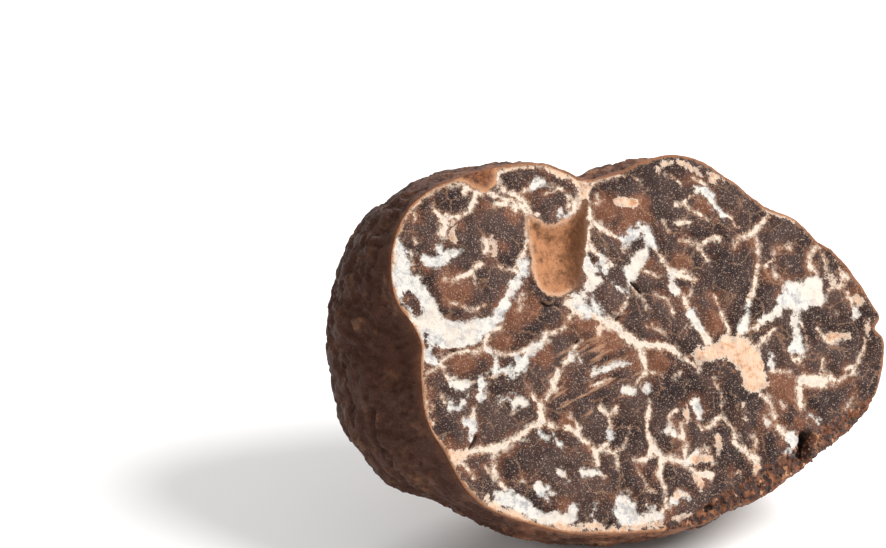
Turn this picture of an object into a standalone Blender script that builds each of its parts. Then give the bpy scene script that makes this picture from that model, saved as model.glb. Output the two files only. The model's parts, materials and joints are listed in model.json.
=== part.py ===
"""Half of a ripe truffle, cut through and resting on its own skin.

The half is one solid. Its length lies along X. Its cut face looks towards -Y and leans back,
and the rounded skin behind it stands on a small flat spot at Z = 0.

Shapes are worked out in the frame of the cut: u runs along its length, v up its slope, and w
is the depth behind it. Lengths in that frame are millimetres.
"""

import math

import bmesh
import bpy
import numpy as np
from mathutils import Vector
from mathutils.geometry import delaunay_2d_cdt

MM = 0.001

# Driving dimensions: the cut's lean in degrees, and in millimetres the cut's half length and
# half height, the body's depth behind it, and how much the resting spot takes off the underside.
CUT_LEAN = 30.0
HALF_LENGTH = 30.0
HALF_HEIGHT = 22.0
BODY_DEPTH = 27.0
FLAT_DEPTH = 1.3

# The mesh: steps round the rim, steps from the rim to the back, the face's grid in millimetres, and
# how clear the grid stays of the rim, as a share of itself, and of the pocket, as a share of its radii.
RIM_STEPS = 120
SKIN_STEPS = 18
FACE_GRID = 2.1
GRID_GAP = 0.7
POCKET_GAP = 0.25

# The skin leaves the rim's small bays behind: it follows the rim averaged over CALM_REACH steps
# to each side once it has turned RIM_FADE radians from the cut.
RIM_FADE = 0.3
CALM_REACH = 6

# The rim of the cut, as (u, v) points that a smooth closed curve passes through.
CUT_OUTLINE = (
    (31.5, -1.5), (30.2, 2.6), (27.6, 7.2), (23.4, 11.6), (19.0, 14.8), (15.4, 18.2), (11.6, 20.9),
    (7.0, 22.0), (2.2, 21.0), (-2.4, 20.5), (-6.0, 22.6), (-11.0, 23.7), (-16.5, 23.2), (-21.6, 22.2),
    (-25.6, 19.4), (-27.9, 15.2), (-28.2, 10.6), (-26.4, 6.0), (-26.8, 1.6), (-27.3, -2.6),
    (-26.1, -7.0), (-24.6, -11.4), (-21.8, -14.7), (-17.2, -17.3), (-12.0, -19.3), (-6.0, -20.5),
    (0.0, -21.1), (5.0, -20.9), (9.6, -19.8), (14.4, -18.3), (19.2, -16.6), (24.0, -14.1),
    (28.0, -11.5), (30.3, -8.0), (31.3, -4.6),
)

# How far the skin swells beyond the rim, as (angle round the rim in degrees, swell).
SKIN_SWELL = (
    (0, 2.0), (60, 1.8), (95, 1.6), (120, 3.0), (145, 6.6), (170, 10.6), (190, 10.0), (205, 5.2), (220, 2.4),
    (240, 2.9), (260, 2.5), (285, 1.4), (320, 1.8),
)

# Broad rises and dips of the skin, as (u, v, w, reach, height).
SKIN_LUMPS = (
    (-25.0, 14.0, 12.0, 9.0, 0.9),
    (-28.0, -6.0, 13.0, 8.0, 0.8),
    (-12.0, 20.0, 14.0, 8.0, 1.2),
    (10.0, 19.0, 12.0, 9.0, 1.0),
    (25.0, 4.0, 13.0, 9.0, 1.1),
    (20.0, -12.0, 15.0, 8.0, 0.8),
    (-14.0, 2.0, 26.0, 8.0, 0.9),
    (10.0, 3.0, 27.0, 9.0, 0.9),
    (-2.0, 8.0, 26.0, 5.0, -1.0),
    (17.0, 14.0, 19.0, 4.5, -0.9),
    (-24.5, -13.0, 9.0, 3.2, -1.3),
    (-2.0, -14.0, 21.0, 8.0, 2.8),
    (-1.0, -6.0, 28.0, 5.0, -0.7),
)

# Lumps and the furrow grow from nothing at the rim to their full height this far behind it.
RELIEF_START_W = 4.0

# The furrow that runs from the notch in the top of the rim back over the skin.
FURROW_START_U = -2.4
FURROW_DRIFT = 0.22
FURROW_REACH = 1.9
FURROW_DEPTH = 1.5
FURROW_END_W = 17.0

# The smooth hollow inside the cut, below the notch.
POCKET_CENTRE = (-7.6, 12.4)
POCKET_RADII = (3.5, 5.0)
POCKET_DEPTH = 4.2
POCKET_RINGS = (0.25, 0.5, 0.75, 0.95, 1.15)
POCKET_SPOKES = 20


def smooth_closed_curve(points, count):
    """Angles evenly round the origin, and how far out the Catmull-Rom curve through the points lies there."""
    given = np.array(points, float)
    steps = np.linspace(0, 1, 24, endpoint=False)[:, None]
    pieces = []
    for i in range(len(given)):
        before, start, end, after = (given[(i + k) % len(given)] for k in (-1, 0, 1, 2))
        pieces.append(
            0.5 * (2 * start + (end - before) * steps
                   + (2 * before - 5 * start + 4 * end - after) * steps**2
                   + (3 * start - before - 3 * end + after) * steps**3)
        )
    fine = np.concatenate(pieces)
    wanted = np.linspace(0, 2 * math.pi, count, endpoint=False)
    turns = np.arctan2(fine[:, 1], fine[:, 0])
    return wanted, np.interp(wanted, turns, np.hypot(fine[:, 0], fine[:, 1]), period=2 * math.pi)


def calmed(radii, reach):
    """The radii averaged round the rim over this many steps to each side."""
    return sum(np.roll(radii, k) for k in range(-reach, reach + 1)) / (2 * reach + 1)


def swell_at(angle):
    """The skin's swell in the direction of this angle, in radians, eased between the given ones."""
    turns, swells = np.array(SKIN_SWELL, float).T
    nearby = math.degrees(angle) + np.arange(-12.0, 13.0, 3.0)
    return float(np.interp(nearby, turns, swells, period=360).mean())


def skin_relief(u, v, w):
    """How far the lumps and the furrow move the skin outwards at this point."""
    height = sum(
        rise * math.exp(-((u - cu) ** 2 + (v - cv) ** 2 + (w - cw) ** 2) / (2 * reach**2))
        for cu, cv, cw, reach, rise in SKIN_LUMPS
    )
    if v > 0:
        aside = (u - FURROW_START_U - FURROW_DRIFT * w) / FURROW_REACH
        fade = max(0.0, 1 - w / FURROW_END_W)
        height -= FURROW_DEPTH * fade * math.exp(-(aside**2)) * min(1.0, 2 * v / HALF_HEIGHT)
    return height * min(1.0, w / RELIEF_START_W)


def skin_point(angle, rim_radius, calm_radius, turn):
    """The skin's point at this angle round the rim; turn is 0 at the rim and a right angle at the back."""
    calm = min(1.0, turn / RIM_FADE)
    radius = rim_radius * (1 - calm) + calm_radius * calm
    out = radius * math.cos(turn) + swell_at(angle) * math.sin(2 * turn)
    u, v, w = out * math.cos(angle), out * math.sin(angle), BODY_DEPTH * math.sin(turn)
    outwards = Vector((u / HALF_LENGTH**2, v / HALF_HEIGHT**2, w / BODY_DEPTH**2)).normalized()
    return Vector((u, v, w)) + outwards * skin_relief(u, v, w)


def pocket_ring(u, v):
    """How far this point lies from the middle of the pocket, as a share of the pocket's radii."""
    return math.hypot((u - POCKET_CENTRE[0]) / POCKET_RADII[0], (v - POCKET_CENTRE[1]) / POCKET_RADII[1])


def face_depth(u, v):
    """How far the cut face lies behind its plane: nothing but in the pocket."""
    return POCKET_DEPTH * max(0.0, 1 - pocket_ring(u, v) ** 2) ** 0.6


def face_points(angles, rim):
    """The points inside the rim: the pocket's rings, and a grid kept clear of the rim and the pocket."""
    points = [POCKET_CENTRE]
    for ring in POCKET_RINGS:
        for spoke in range(POCKET_SPOKES):
            turn = 2 * math.pi * spoke / POCKET_SPOKES
            points.append((POCKET_CENTRE[0] + ring * POCKET_RADII[0] * math.cos(turn),
                           POCKET_CENTRE[1] + ring * POCKET_RADII[1] * math.sin(turn)))
    reach = int(rim.max() / FACE_GRID) + 1
    for row in range(-reach, reach + 1):
        for column in range(-reach, reach + 1):
            u = FACE_GRID * (column + 0.5 * (row % 2))
            v = FACE_GRID * row * math.sqrt(0.75)
            edge = np.interp(math.atan2(v, u), angles, rim, period=2 * math.pi)
            clear_of_rim = math.hypot(u, v) < edge - GRID_GAP * FACE_GRID
            if clear_of_rim and pocket_ring(u, v) > POCKET_RINGS[-1] + POCKET_GAP:
                points.append((u, v))
    return points


def to_world(u, v, w):
    """A point of the cut's frame in metres, with the middle of the cut at the origin."""
    lean = math.radians(CUT_LEAN)
    return Vector((u, v * math.sin(lean) + w * math.cos(lean), v * math.cos(lean) - w * math.sin(lean))) * MM


def truffle_mesh():
    """The half's closed mesh, standing on its flat spot with the middle of its box over the origin."""
    angles, rim = smooth_closed_curve(CUT_OUTLINE, RIM_STEPS)
    calm = calmed(rim, CALM_REACH)
    bm = bmesh.new()
    rings = []
    for step in range(SKIN_STEPS):
        turn = 0.5 * math.pi * step / SKIN_STEPS
        points = [skin_point(angle, near, far, turn) for angle, near, far in zip(angles, rim, calm)]
        rings.append([bm.verts.new(to_world(*point)) for point in points])
    back = bm.verts.new(to_world(*skin_point(0.0, 0.0, 0.0, 0.5 * math.pi)))
    for near, far in zip(rings, rings[1:]):
        for i in range(RIM_STEPS):
            j = (i + 1) % RIM_STEPS
            bm.faces.new((near[i], near[j], far[j], far[i]))
    for i in range(RIM_STEPS):
        bm.faces.new((rings[-1][i], rings[-1][(i + 1) % RIM_STEPS], back))

    inner = face_points(angles, rim)
    flat = [Vector((r * math.cos(a), r * math.sin(a))) for a, r in zip(angles, rim)]
    border = [(i, (i + 1) % RIM_STEPS) for i in range(RIM_STEPS)]
    plan = delaunay_2d_cdt(flat + [Vector(p) for p in inner], border, [], 1, 1e-6)
    corners = rings[0] + [bm.verts.new(to_world(u, v, face_depth(u, v))) for u, v in inner]
    for face in plan[2]:
        bm.faces.new([corners[plan[3][k][0]] for k in face])

    lowest = min(vert.co.z for vert in bm.verts)
    floor = Vector((0, 0, lowest + FLAT_DEPTH * MM))
    everything = bm.verts[:] + bm.edges[:] + bm.faces[:]
    cut = bmesh.ops.bisect_plane(bm, geom=everything, plane_co=floor, plane_no=(0, 0, -1), clear_outer=True)
    open_edges = [item for item in cut["geom_cut"] if isinstance(item, bmesh.types.BMEdge)]
    bmesh.ops.contextual_create(bm, geom=open_edges)
    bmesh.ops.triangulate(bm, faces=bm.faces[:])
    bmesh.ops.recalc_face_normals(bm, faces=bm.faces[:])

    low = Vector([min(vert.co[k] for vert in bm.verts) for k in range(3)])
    high = Vector([max(vert.co[k] for vert in bm.verts) for k in range(3)])
    middle = Vector(((low.x + high.x) / 2, (low.y + high.y) / 2, low.z))
    bmesh.ops.translate(bm, vec=-middle, verts=bm.verts[:])
    mesh = bpy.data.meshes.new("truffle_half")
    bm.to_mesh(mesh)
    bm.free()
    return mesh


def flesh_material():
    material = bpy.data.materials.new("truffle")
    material.use_nodes = True
    shader = material.node_tree.nodes["Principled BSDF"]
    shader.inputs["Base Color"].default_value = (0.13, 0.075, 0.055, 1)
    shader.inputs["Roughness"].default_value = 0.62
    shader.inputs["Metallic"].default_value = 0.0
    return material


def main():
    for obj in list(bpy.data.objects):
        bpy.data.objects.remove(obj)
    mesh = truffle_mesh()
    mesh.materials.append(flesh_material())
    mesh.shade_smooth()
    mesh.set_sharp_from_angle(angle=math.radians(40))
    bpy.context.scene.collection.objects.link(bpy.data.objects.new("truffle_half", mesh))


main()
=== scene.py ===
"""Half of a ripe truffle, cut through, its veined flesh leaning back on its own brown skin.

The half is one closed piece, with loose crumbs along the broken lower edge of the cut as a second.
Its surface is worked out in the frame of the cut: u runs along its length, v up its slope and w is
the depth behind it, all in millimetres.
"""

import json
import math

import bpy
import numpy as np
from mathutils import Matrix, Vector
from mathutils.geometry import delaunay_2d_cdt
from mathutils.kdtree import KDTree

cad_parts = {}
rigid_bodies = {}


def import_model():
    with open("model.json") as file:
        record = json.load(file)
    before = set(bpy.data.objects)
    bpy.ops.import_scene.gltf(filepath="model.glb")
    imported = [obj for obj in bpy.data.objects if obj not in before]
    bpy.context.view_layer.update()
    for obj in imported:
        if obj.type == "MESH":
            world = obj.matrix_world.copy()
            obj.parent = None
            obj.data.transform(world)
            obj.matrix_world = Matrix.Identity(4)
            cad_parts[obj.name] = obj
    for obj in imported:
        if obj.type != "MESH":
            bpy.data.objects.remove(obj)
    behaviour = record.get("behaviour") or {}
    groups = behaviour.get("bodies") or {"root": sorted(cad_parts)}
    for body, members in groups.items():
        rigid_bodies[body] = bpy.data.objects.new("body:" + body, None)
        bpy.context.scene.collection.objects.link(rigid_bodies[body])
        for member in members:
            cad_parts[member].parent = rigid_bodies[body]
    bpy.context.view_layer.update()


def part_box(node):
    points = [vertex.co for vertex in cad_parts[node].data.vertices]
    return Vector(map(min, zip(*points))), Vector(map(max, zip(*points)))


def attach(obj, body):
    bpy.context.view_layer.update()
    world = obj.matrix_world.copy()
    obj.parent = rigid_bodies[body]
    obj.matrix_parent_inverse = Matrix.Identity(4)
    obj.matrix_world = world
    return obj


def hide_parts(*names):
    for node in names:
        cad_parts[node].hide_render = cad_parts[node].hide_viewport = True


bl_info = {
    "name": "Halved Truffle",
    "version": (1, 0, 0),
    "blender": (4, 5, 0),
    "location": "3D View > Sidebar > Truffle",
    "description": "Makes half of a ripe truffle, cut through, with its veined flesh and brown skin",
    "category": "Object",
}

for item in list(bpy.data.objects):
    bpy.data.objects.remove(item)
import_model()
CAD_LOW, CAD_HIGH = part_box("truffle_half")

MM = 0.001

# The broad shape in the frame of the cut, in millimetres, with the lean of the cut in degrees.
CUT_LEAN = 30.0
HALF_LENGTH = 30.0
HALF_HEIGHT = 22.0
BODY_DEPTH = 27.0
FLAT_DEPTH = 1.3

# Steps round the rim. The skin follows the rim averaged over CALM_REACH steps to each side once it
# has turned RIM_FADE radians from the cut. Its swell is averaged over SWELL_REACH degrees to each
# side, every SWELL_STEP degrees.
RIM_STEPS = 720
RIM_FADE = 0.25
CALM_REACH = 36
SWELL_REACH = 12.0
SWELL_STEP = 3.0

# Lumps and the furrow grow from nothing at the rim to their full height this many millimetres behind it.
RELIEF_START_W = 4.0

# Steps round the rim and from the rim to the back that are enough to find how low the skin reaches.
FLOOR_STEPS = (240, 60)

# The lean of the torn streaks of the cut, in degrees, and the most that a crumb is turned, in radians.
STREAK_LEAN = -17.0
FULL_TURN = 6.28

# The rim of the cut, as (u, v) points that a smooth closed curve passes through.
CUT_OUTLINE = (
    (31.6, -1.2), (30.9, 0.6), (30.0, 2.9), (29.0, 5.1), (27.4, 7.4), (25.2, 9.4), (23.0, 12.0), (20.4, 13.6),
    (18.0, 15.4), (16.4, 17.2), (14.0, 19.4), (11.6, 21.0), (8.6, 21.9), (5.4, 21.7), (2.5, 21.0),
    (-0.5, 20.6),
    (-2.7, 20.6), (-4.5, 21.8), (-7.5, 23.2), (-11.0, 23.6), (-14.5, 23.4), (-17.8, 23.0), (-21.0, 22.4),
    (-24.0, 20.9), (-26.2, 18.6), (-27.7, 15.6), (-28.3, 12.4), (-28.0, 9.8), (-26.8, 7.4), (-26.2, 5.0),
    (-26.7, 2.8), (-27.1, 0.2), (-27.3, -2.4), (-26.9, -4.9), (-25.9, -7.3), (-25.1, -9.8), (-24.1, -12.1),
    (-22.4, -14.2), (-19.8, -15.9), (-16.8, -17.4), (-13.6, -18.8), (-10.4, -19.6), (-6.5, -20.3),
    (-3.0, -20.8),
    (0.2, -21.1), (3.6, -21.1), (6.2, -20.4), (8.6, -19.9), (11.1, -19.6), (13.4, -18.9), (15.0, -17.9),
    (17.6, -17.2), (20.4, -15.9), (23.8, -14.2), (26.0, -13.1), (28.0, -11.5), (29.4, -9.6), (30.5, -7.6),
    (31.3, -5.4), (31.5, -3.8), (30.7, -2.5),
)

# How far the skin swells beyond the rim, as (angle round the rim in degrees, swell).
SKIN_SWELL = (
    (0, 2.0), (60, 1.8), (95, 1.6), (120, 3.0), (145, 6.6), (170, 10.6), (190, 10.0), (205, 5.2), (220, 2.4),
    (240, 2.9), (260, 2.5), (285, 1.4), (320, 1.8),
)

# Broad rises and dips of the skin, as (u, v, w, reach, height).
SKIN_LUMPS = (
    (-25.0, 14.0, 12.0, 9.0, 0.9), (-28.0, -6.0, 13.0, 8.0, 0.8), (-12.0, 20.0, 14.0, 8.0, 1.2),
    (10.0, 19.0, 12.0, 9.0, 1.0), (25.0, 4.0, 13.0, 9.0, 1.1), (20.0, -12.0, 15.0, 8.0, 0.8),
    (-14.0, 2.0, 26.0, 8.0, 0.9), (10.0, 3.0, 27.0, 9.0, 0.9), (-2.0, 8.0, 26.0, 5.0, -1.0),
    (17.0, 14.0, 19.0, 4.5, -0.9), (-24.5, -13.0, 9.0, 3.2, -1.3), (-2.0, -14.0, 21.0, 8.0, 2.8),
    (-1.0, -6.0, 28.0, 5.0, -0.7),
)

# The furrow from the notch in the top of the rim back over the skin.
FURROW_START_U = -2.4
FURROW_DRIFT = 0.22
FURROW_REACH = 1.9
FURROW_DEPTH = 1.5
FURROW_END_W = 17.0

# The smooth hollow inside the cut, below the notch, as its closed edge in (u, v).
POCKET_EDGE = (
    (-10.4, 17.6), (-8.8, 16.5), (-7.7, 16.1), (-6.1, 16.4), (-4.3, 17.2), (-2.9, 18.4), (-2.8, 17.3),
    (-3.3, 15.9),
    (-3.9, 13.6), (-4.8, 11.1), (-5.6, 9.1), (-7.0, 8.0), (-8.8, 7.7), (-10.3, 8.3), (-11.1, 9.4),
    (-11.3, 11.0),
    (-11.1, 12.9), (-11.1, 14.7), (-11.0, 16.3),
)

# The shoulder above the round lobe, where the skin folds over the cut, as its closed edge in (u, v).
SHOULDER_EDGE = (
    (-27.4, 17.7), (-26.9, 18.7), (-25.7, 19.7), (-24.2, 20.6), (-22.8, 21.8), (-21.4, 22.3),
    (-19.8, 22.9), (-18.6, 22.8), (-17.4, 22.3), (-16.1, 21.4), (-15, 20.9), (-14.3, 21.2), (-13.5, 21.8),
    (-13.2, 22.9), (-13, 23.7), (-13, 25.5), (-18, 26.5), (-24, 25), (-29.5, 20), (-31, 14),
)
SHOULDER_DROP = 1.1

# The pocket is deepest POCKET_SLOPE millimetres inside its edge, at this share of its depth setting.
POCKET_SLOPE = 3.2
POCKET_SHARE = 0.62

# The band of the rim that broke off rough instead of being cut, as strokes like those below.
BROKEN_RIM = (
    (0.5, 1.3, ((-1.0, -21.0), (2.0, -20.8), (5.0, -19.8), (8.6, -18.9))),
    (1.3, 1.6, ((8.6, -18.9), (12.0, -17.9), (14.5, -17.0), (17.6, -16.2), (20.4, -15.0))),
    (1.6, 0.5, ((20.4, -15.0), (23.6, -13.5), (26.0, -12.4), (28.4, -10.8))),
)

# The lobe whose flesh tore in fine parallel streaks.
TORN_LOBE = ((3.2, 3.6, ((-9.8, -2.2), (-6.0, 0.4), (-2.6, -0.6))), (2.6, 3.0, ((-9.0, -4.5), (-3.0, -4.0))))

# Cream veins of the cut, each as (half width at its start, half width at its end, points).
VEINS = (
    (0.25, 0.25, ((-26.8, 17.8), (-26.6, 18.7), (-25.5, 19.5), (-24, 20.4), (-22.6, 21.6), (-21.4, 22.1),
        (-19.8, 22.6), (-18.7, 22.5), (-17.6, 22.1), (-16.2, 21.1))),
    (0.2, 0.25, ((-12.9, 22.9), (-13.3, 22.1), (-13.1, 21.4), (-12.4, 20.8), (-11.5, 20.2), (-10.7, 19.5),
        (-10.2, 18.6), (-10, 17.7))),
    (0.2, 0.2, ((-12.7, 23.1), (-11.3, 23.2), (-9.8, 23.2), (-8.5, 23))),
    (0.25, 0.25, ((-6.7, 22.5), (-5.9, 22.3), (-5.3, 21.8), (-4.5, 21.3), (-3.8, 20.8), (-3.4, 20.2),
        (-3.3, 19.4), (-3.7, 18.5), (-4.2, 18.2), (-4.7, 18))),
    (0.2, 0.3, ((-10.7, 17.4), (-10.8, 16.2), (-11.1, 15.1), (-11.4, 14), (-12.1, 13), (-12.8, 12))),
    (0.2, 0.3, ((-21.7, 20.2), (-21.4, 19.6), (-21, 19))),
    (0.65, 0.55, ((-20.6, 18.7), (-20.7, 17.8), (-21.1, 17.1))),
    (0.3, 0.3, ((-20.4, 18.8), (-19.5, 18.7), (-18.5, 18.8), (-17.5, 19), (-17, 19.6))),
    (0.35, 0.35, ((-16.3, 20.9), (-16.6, 20.1), (-17.1, 19.3))),
    (0.35, 0.3, ((-17.5, 21.8), (-17.5, 21.2))), (0.08, 0.08, ((-24, 20.3), (-24, 19.4), (-24, 19))),
    (0.3, 0.3, ((-15.7, 20.9), (-14.3, 20.6), (-13, 19.8), (-11.7, 19.2), (-10.8, 18.3), (-10.6, 17.2),
        (-10.7, 16.1))), (0.45, 0.4, ((-14, 19.4), (-12.7, 19.2), (-11.4, 18.5))),
    (0.22, 0.22, ((-11, 16.2), (-11.1, 15.1), (-11.4, 14), (-12.3, 12.4), (-13, 11.4))),
    (0.35, 0.35, ((-16.1, 15.5), (-16.1, 14.7), (-16.4, 14.2))),
    (0.12, 0.3, ((-15.3, 12.7), (-14.9, 12.1), (-14.1, 11.8), (-13.2, 11.5))),
    (0.12, 0.12, ((-24.7, 17), (-24.5, 16.5))),
    (0.15, 0.15, ((-25.2, 15.5), (-25.2, 14.4), (-25.2, 13.3), (-24.9, 11.9))),
    (0.3, 0.4, ((-19.9, 11.8), (-18.8, 12.1), (-17.9, 12.6), (-17.2, 12.8))),
    (0.2, 0.25, ((-22, 11.7), (-20.9, 11.8), (-19.7, 11.7))),
    (0.1, 0.1, ((-18.4, 11.8), (-18.4, 11.1), (-18.3, 10.5))),
    (0.22, 0.22, ((-12.9, 22.9), (-12.2, 23.1), (-10.9, 23.2), (-9.3, 23.1), (-7.9, 22.9))),
    (0.25, 0.35, ((-13.1, 21), (-12.2, 20.4), (-11.4, 20), (-10.9, 19.5))),
    (0.35, 0.25, ((-10.9, 19.5), (-10.4, 18.8), (-10.3, 18.4), (-10, 17.9), (-9.2, 17.4))),
    (0.25, 0.2, ((-11, 20.2), (-10.3, 20.3), (-9.8, 20.6), (-9.1, 20.8))),
    (0.12, 0.3, ((-7.8, 19.6), (-7, 19.8), (-6.3, 20), (-5.7, 20), (-5.3, 19.4), (-5.1, 18.8),
        (-4.9, 18.3), (-5.2, 17.6))), (0.1, 0.1, ((-6.9, 20.5), (-6.3, 20))),
    (0.5, 0.45, ((-4.4, 18), (-4.5, 17.4), (-4.9, 17))),
    (0.18, 0.18, ((-3.3, 19.6), (-3.5, 18.7), (-3.7, 18.1))),
    (0.25, 0.3, ((-2.3, 19.8), (-2.6, 19), (-2.8, 17.7), (-2.8, 16.8))),
    (0.45, 0.3, ((-2.8, 16.2), (-2.8, 15.4), (-3.4, 14.4), (-3.7, 13.4), (-4, 12.4))),
    (0.3, 0.3, ((-2.5, 15.6), (-1.9, 15), (-1.3, 14.4), (-0.5, 13.8), (0.4, 13.1))),
    (0.12, 0.12, ((0.8, 12.4), (0.4, 11.6))),
    (0.22, 0.3, ((-3.3, 14.5), (-3.5, 13.4), (-3.2, 12.3), (-2.6, 11.7), (-2, 11.1), (-1.2, 10.3))),
    (0.5, 0.55, ((-4.4, 11.3), (-4.3, 10.1), (-4.2, 8.9))),
    (0.15, 0.1, ((-1.4, 18.5), (-1.3, 17.8), (-1.7, 17.7), (-0.6, 17.8))),
    (0.22, 0.22, ((-1.9, 20), (-0.7, 20.3), (0.6, 20.5), (2.4, 20.5))),
    (0.12, 0.12, ((14.2, 18.3), (14.5, 18.1))),
    (0.12, 0.18, ((7.7, 19.9), (8.6, 19.3), (9.2, 18.7), (9.4, 18.4))),
    (0.12, 0.08, ((4, 19.8), (4.3, 19.2), (4.4, 18.9))),
    (0.15, 0.2, ((11.1, 18.9), (11.8, 18.4), (12.5, 17.8))),
    (0.22, 0.22, ((8.2, 16), (9.1, 16.1), (9.7, 16.4), (10.2, 16.8))),
    (0.2, 0.25, ((9.5, 15.9), (9.7, 15.4), (10.2, 15), (10.9, 14.6))),
    (0.3, 0.15, ((10.9, 14.6), (11.6, 14), (12, 13.5))),
    (0.3, 0.25, ((7.8, 13.9), (8.6, 13.9), (9.5, 13.8))),
    (0.1, 0.15, ((6.3, 14.2), (6.5, 13.7), (6.7, 13.2), (6.6, 13))),
    (0.12, 0.15, ((7.8, 11.8), (8.7, 11.7), (9.4, 11.4), (9.9, 11.1))),
    (0.2, 0.08, ((10.1, 11), (10.2, 10.6), (10.5, 9.8), (10.8, 9), (10.9, 8.4))),
    (0.2, 0.3, ((10.4, 10.8), (11.2, 11.2), (12.1, 11.5), (13.1, 11.2))),
    (0.15, 0.2, ((14.4, 14.2), (15, 13.4), (15.3, 12.6), (15.8, 12.2))),
    (0.35, 0.25, ((19.6, 13), (18.6, 12.1), (17.6, 11.6), (16.7, 11.1), (15.7, 10.8), (15, 10.5),
        (14.7, 10.1))), (0.25, 0.25, ((17.9, 11.3), (17.7, 10.2), (17.7, 9))),
    (0.15, 0.25, ((4.3, 11.7), (4.7, 10.9), (5.2, 10), (5.7, 8.9), (6.2, 8.2))),
    (0.4, 0.35, ((6.1, 8), (7.1, 7.8), (8, 7.4), (8.8, 6.9))),
    (0.35, 0.3, ((19.9, 13.9), (19.9, 13.3), (18.8, 12.3), (17.9, 11.5), (16.8, 11.2), (15.5, 10.9))),
    (0.25, 0.25, ((17.8, 10.9), (17.7, 9.9), (17.7, 8.8), (17.4, 7.7), (17, 6.6), (16.5, 5.5),
        (15.9, 4.5), (15.1, 3.4))),
    (0.12, 0.15, ((19.2, 7.6), (19.7, 8.5), (20.6, 8.9), (21.4, 9.1), (22.1, 8.7))),
    (0.2, 0.2, ((19.1, 7.6), (18.6, 7.4), (18.1, 7.1))),
    (0.15, 0.2, ((19.1, 7.3), (19.1, 6.3), (19.5, 5.6))),
    (0.25, 0.3, ((25.6, 8.6), (24.6, 7.8), (24.1, 7), (24, 6.1), (24.7, 5.5))),
    (0.15, 0.2, ((25.6, 8.6), (26, 7.4), (26.2, 6.5), (25.9, 5.3))),
    (0.15, 0.25, ((27.5, 6.5), (27.8, 5.5), (28.2, 4.8), (28.7, 4))),
    (0.15, 0.15, ((-21.8, 9.1), (-20.8, 8.6), (-19.8, 8.1), (-18.8, 7.9), (-17.8, 8.2))),
    (0.3, 0.3, ((-21.8, 11.8), (-20.4, 11.7), (-19.3, 11.8), (-18.3, 12.3))),
    (0.25, 0.3, ((-24.2, 2), (-23.9, 1.2), (-23.4, 0.4), (-22.3, -0.1))),
    (0.15, 0.2, ((-22.3, -0.1), (-21.2, -0.2), (-20, 0), (-18.7, 0.1), (-17.6, 0.1), (-16.4, 0.2))),
    (0.3, 0.25, ((-14.4, 1), (-13.8, 1.7), (-13.2, 2.3))),
    (0.25, 0.3, ((-24.7, 2.1), (-23.8, 2.9), (-22.8, 3.3), (-21.6, 3.4), (-20.5, 3.3), (-19.3, 3.2),
        (-18.4, 3.2))),
    (0.25, 0.25, ((-18.4, 3.2), (-17.5, 2.6), (-16.4, 2.2), (-15, 2.1), (-14, 2.3), (-13.1, 2.5))),
    (0.4, 0.4, ((-18.7, 3.5), (-18.6, 4.1), (-18.3, 4.7), (-17.5, 5), (-16.5, 5.4))),
    (0.25, 0.2, ((-26.3, 1.6), (-25.4, 1.9), (-24.7, 2.1), (-24, 2))),
    (0.1, 0.1, ((-13, 8.8), (-13.1, 7.8), (-13.6, 7))),
    (0.6, 0.6, ((-3.5, 4.1), (-2.3, 3.1), (-1.1, 1.8), (0, 0.9))),
    (0.7, 0.6, ((-7.5, 6.9), (-6.7, 6), (-6.2, 5.3))),
    (0.35, 0.2, ((-6.8, 6.4), (-7.2, 5.5), (-7.7, 5.1), (-8.3, 4.5), (-9.1, 3.9))),
    (0.2, 0.3, ((-9.1, 3.9), (-10.1, 3.8), (-10.9, 3.7), (-11.3, 3.1), (-12.3, 2.7))),
    (0.15, 0.15, ((-1.8, 4.6), (-1.7, 4.4))),
    (0.18, 0.12, ((-0, 6.3), (-0.4, 5.8), (-0.9, 5.3), (-1.2, 4.8))),
    (0.12, 0.1, ((2.3, 9), (3.1, 8.7), (4.1, 8.1))),
    (0.2, 0.12, ((0.5, 7.7), (0.9, 7), (1.5, 6.2), (1.8, 5.6), (2, 4.9), (1.9, 4.4))),
    (0.12, 0.08, ((2.3, 2.9), (2.8, 2.2))), (0.1, 0.1, ((1.6, 2.5), (1.7, 2.4))),
    (0.1, 0.1, ((-13.2, 8.4), (-13.2, 8), (-13.1, 7.4))),
    (0.08, 0.1, ((-6.6, -3.1), (-5.7, -2.9), (-4.9, -2.7), (-4.3, -2.7))),
    (0.1, 0.3, ((-6.8, 2.2), (-7.6, 1.8), (-8.3, 1.3), (-8.7, 0.7))),
    (0.3, 0.25, ((-8.8, 0.6), (-9.7, -0.2), (-10.4, -1), (-10.9, -1.8), (-11.3, -2.7))),
    (0.3, 0.15, ((0, -0.3), (0.3, -1.2), (0.4, -2.1), (0.1, -2.9), (-0.8, -3.4), (-1.5, -4.2))),
    (0.22, 0.22, ((5, 9.9), (5.5, 9.1), (6.2, 8.2))),
    (0.3, 0.2, ((6.2, 8.2), (7.2, 8.2), (8.1, 7.7), (8.8, 7))),
    (0.1, 0.1, ((8.8, 7), (8.3, 6.4), (8.1, 5.7), (7.8, 5.2))),
    (0.4, 0.35, ((6.2, 6.1), (6.8, 5.2), (7.1, 4.3), (7.3, 3.4))),
    (0.5, 0.6, ((8.2, 1.2), (8.7, 0.2), (9, -0.5))), (0.1, 0.1, ((7.8, 2.1), (7, 1.7), (6.4, 1.4))),
    (0.15, 0.1, ((11, 9), (11, 8.5))),
    (0.12, 0.22, ((10.4, 5.1), (10.9, 4.6), (11.1, 3.9), (11.2, 3), (11.4, 2.2))),
    (0.2, 0.3, ((11.4, 2.2), (11.6, 1.5), (11.8, 0.6), (11.6, -0.3))),
    (0.25, 0.2, ((17.2, 7.5), (16.9, 6.3), (16.4, 5.5))),
    (0.2, 0.25, ((16.4, 5.5), (15.8, 4.6), (15.3, 3.7), (15, 2.8))),
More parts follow.
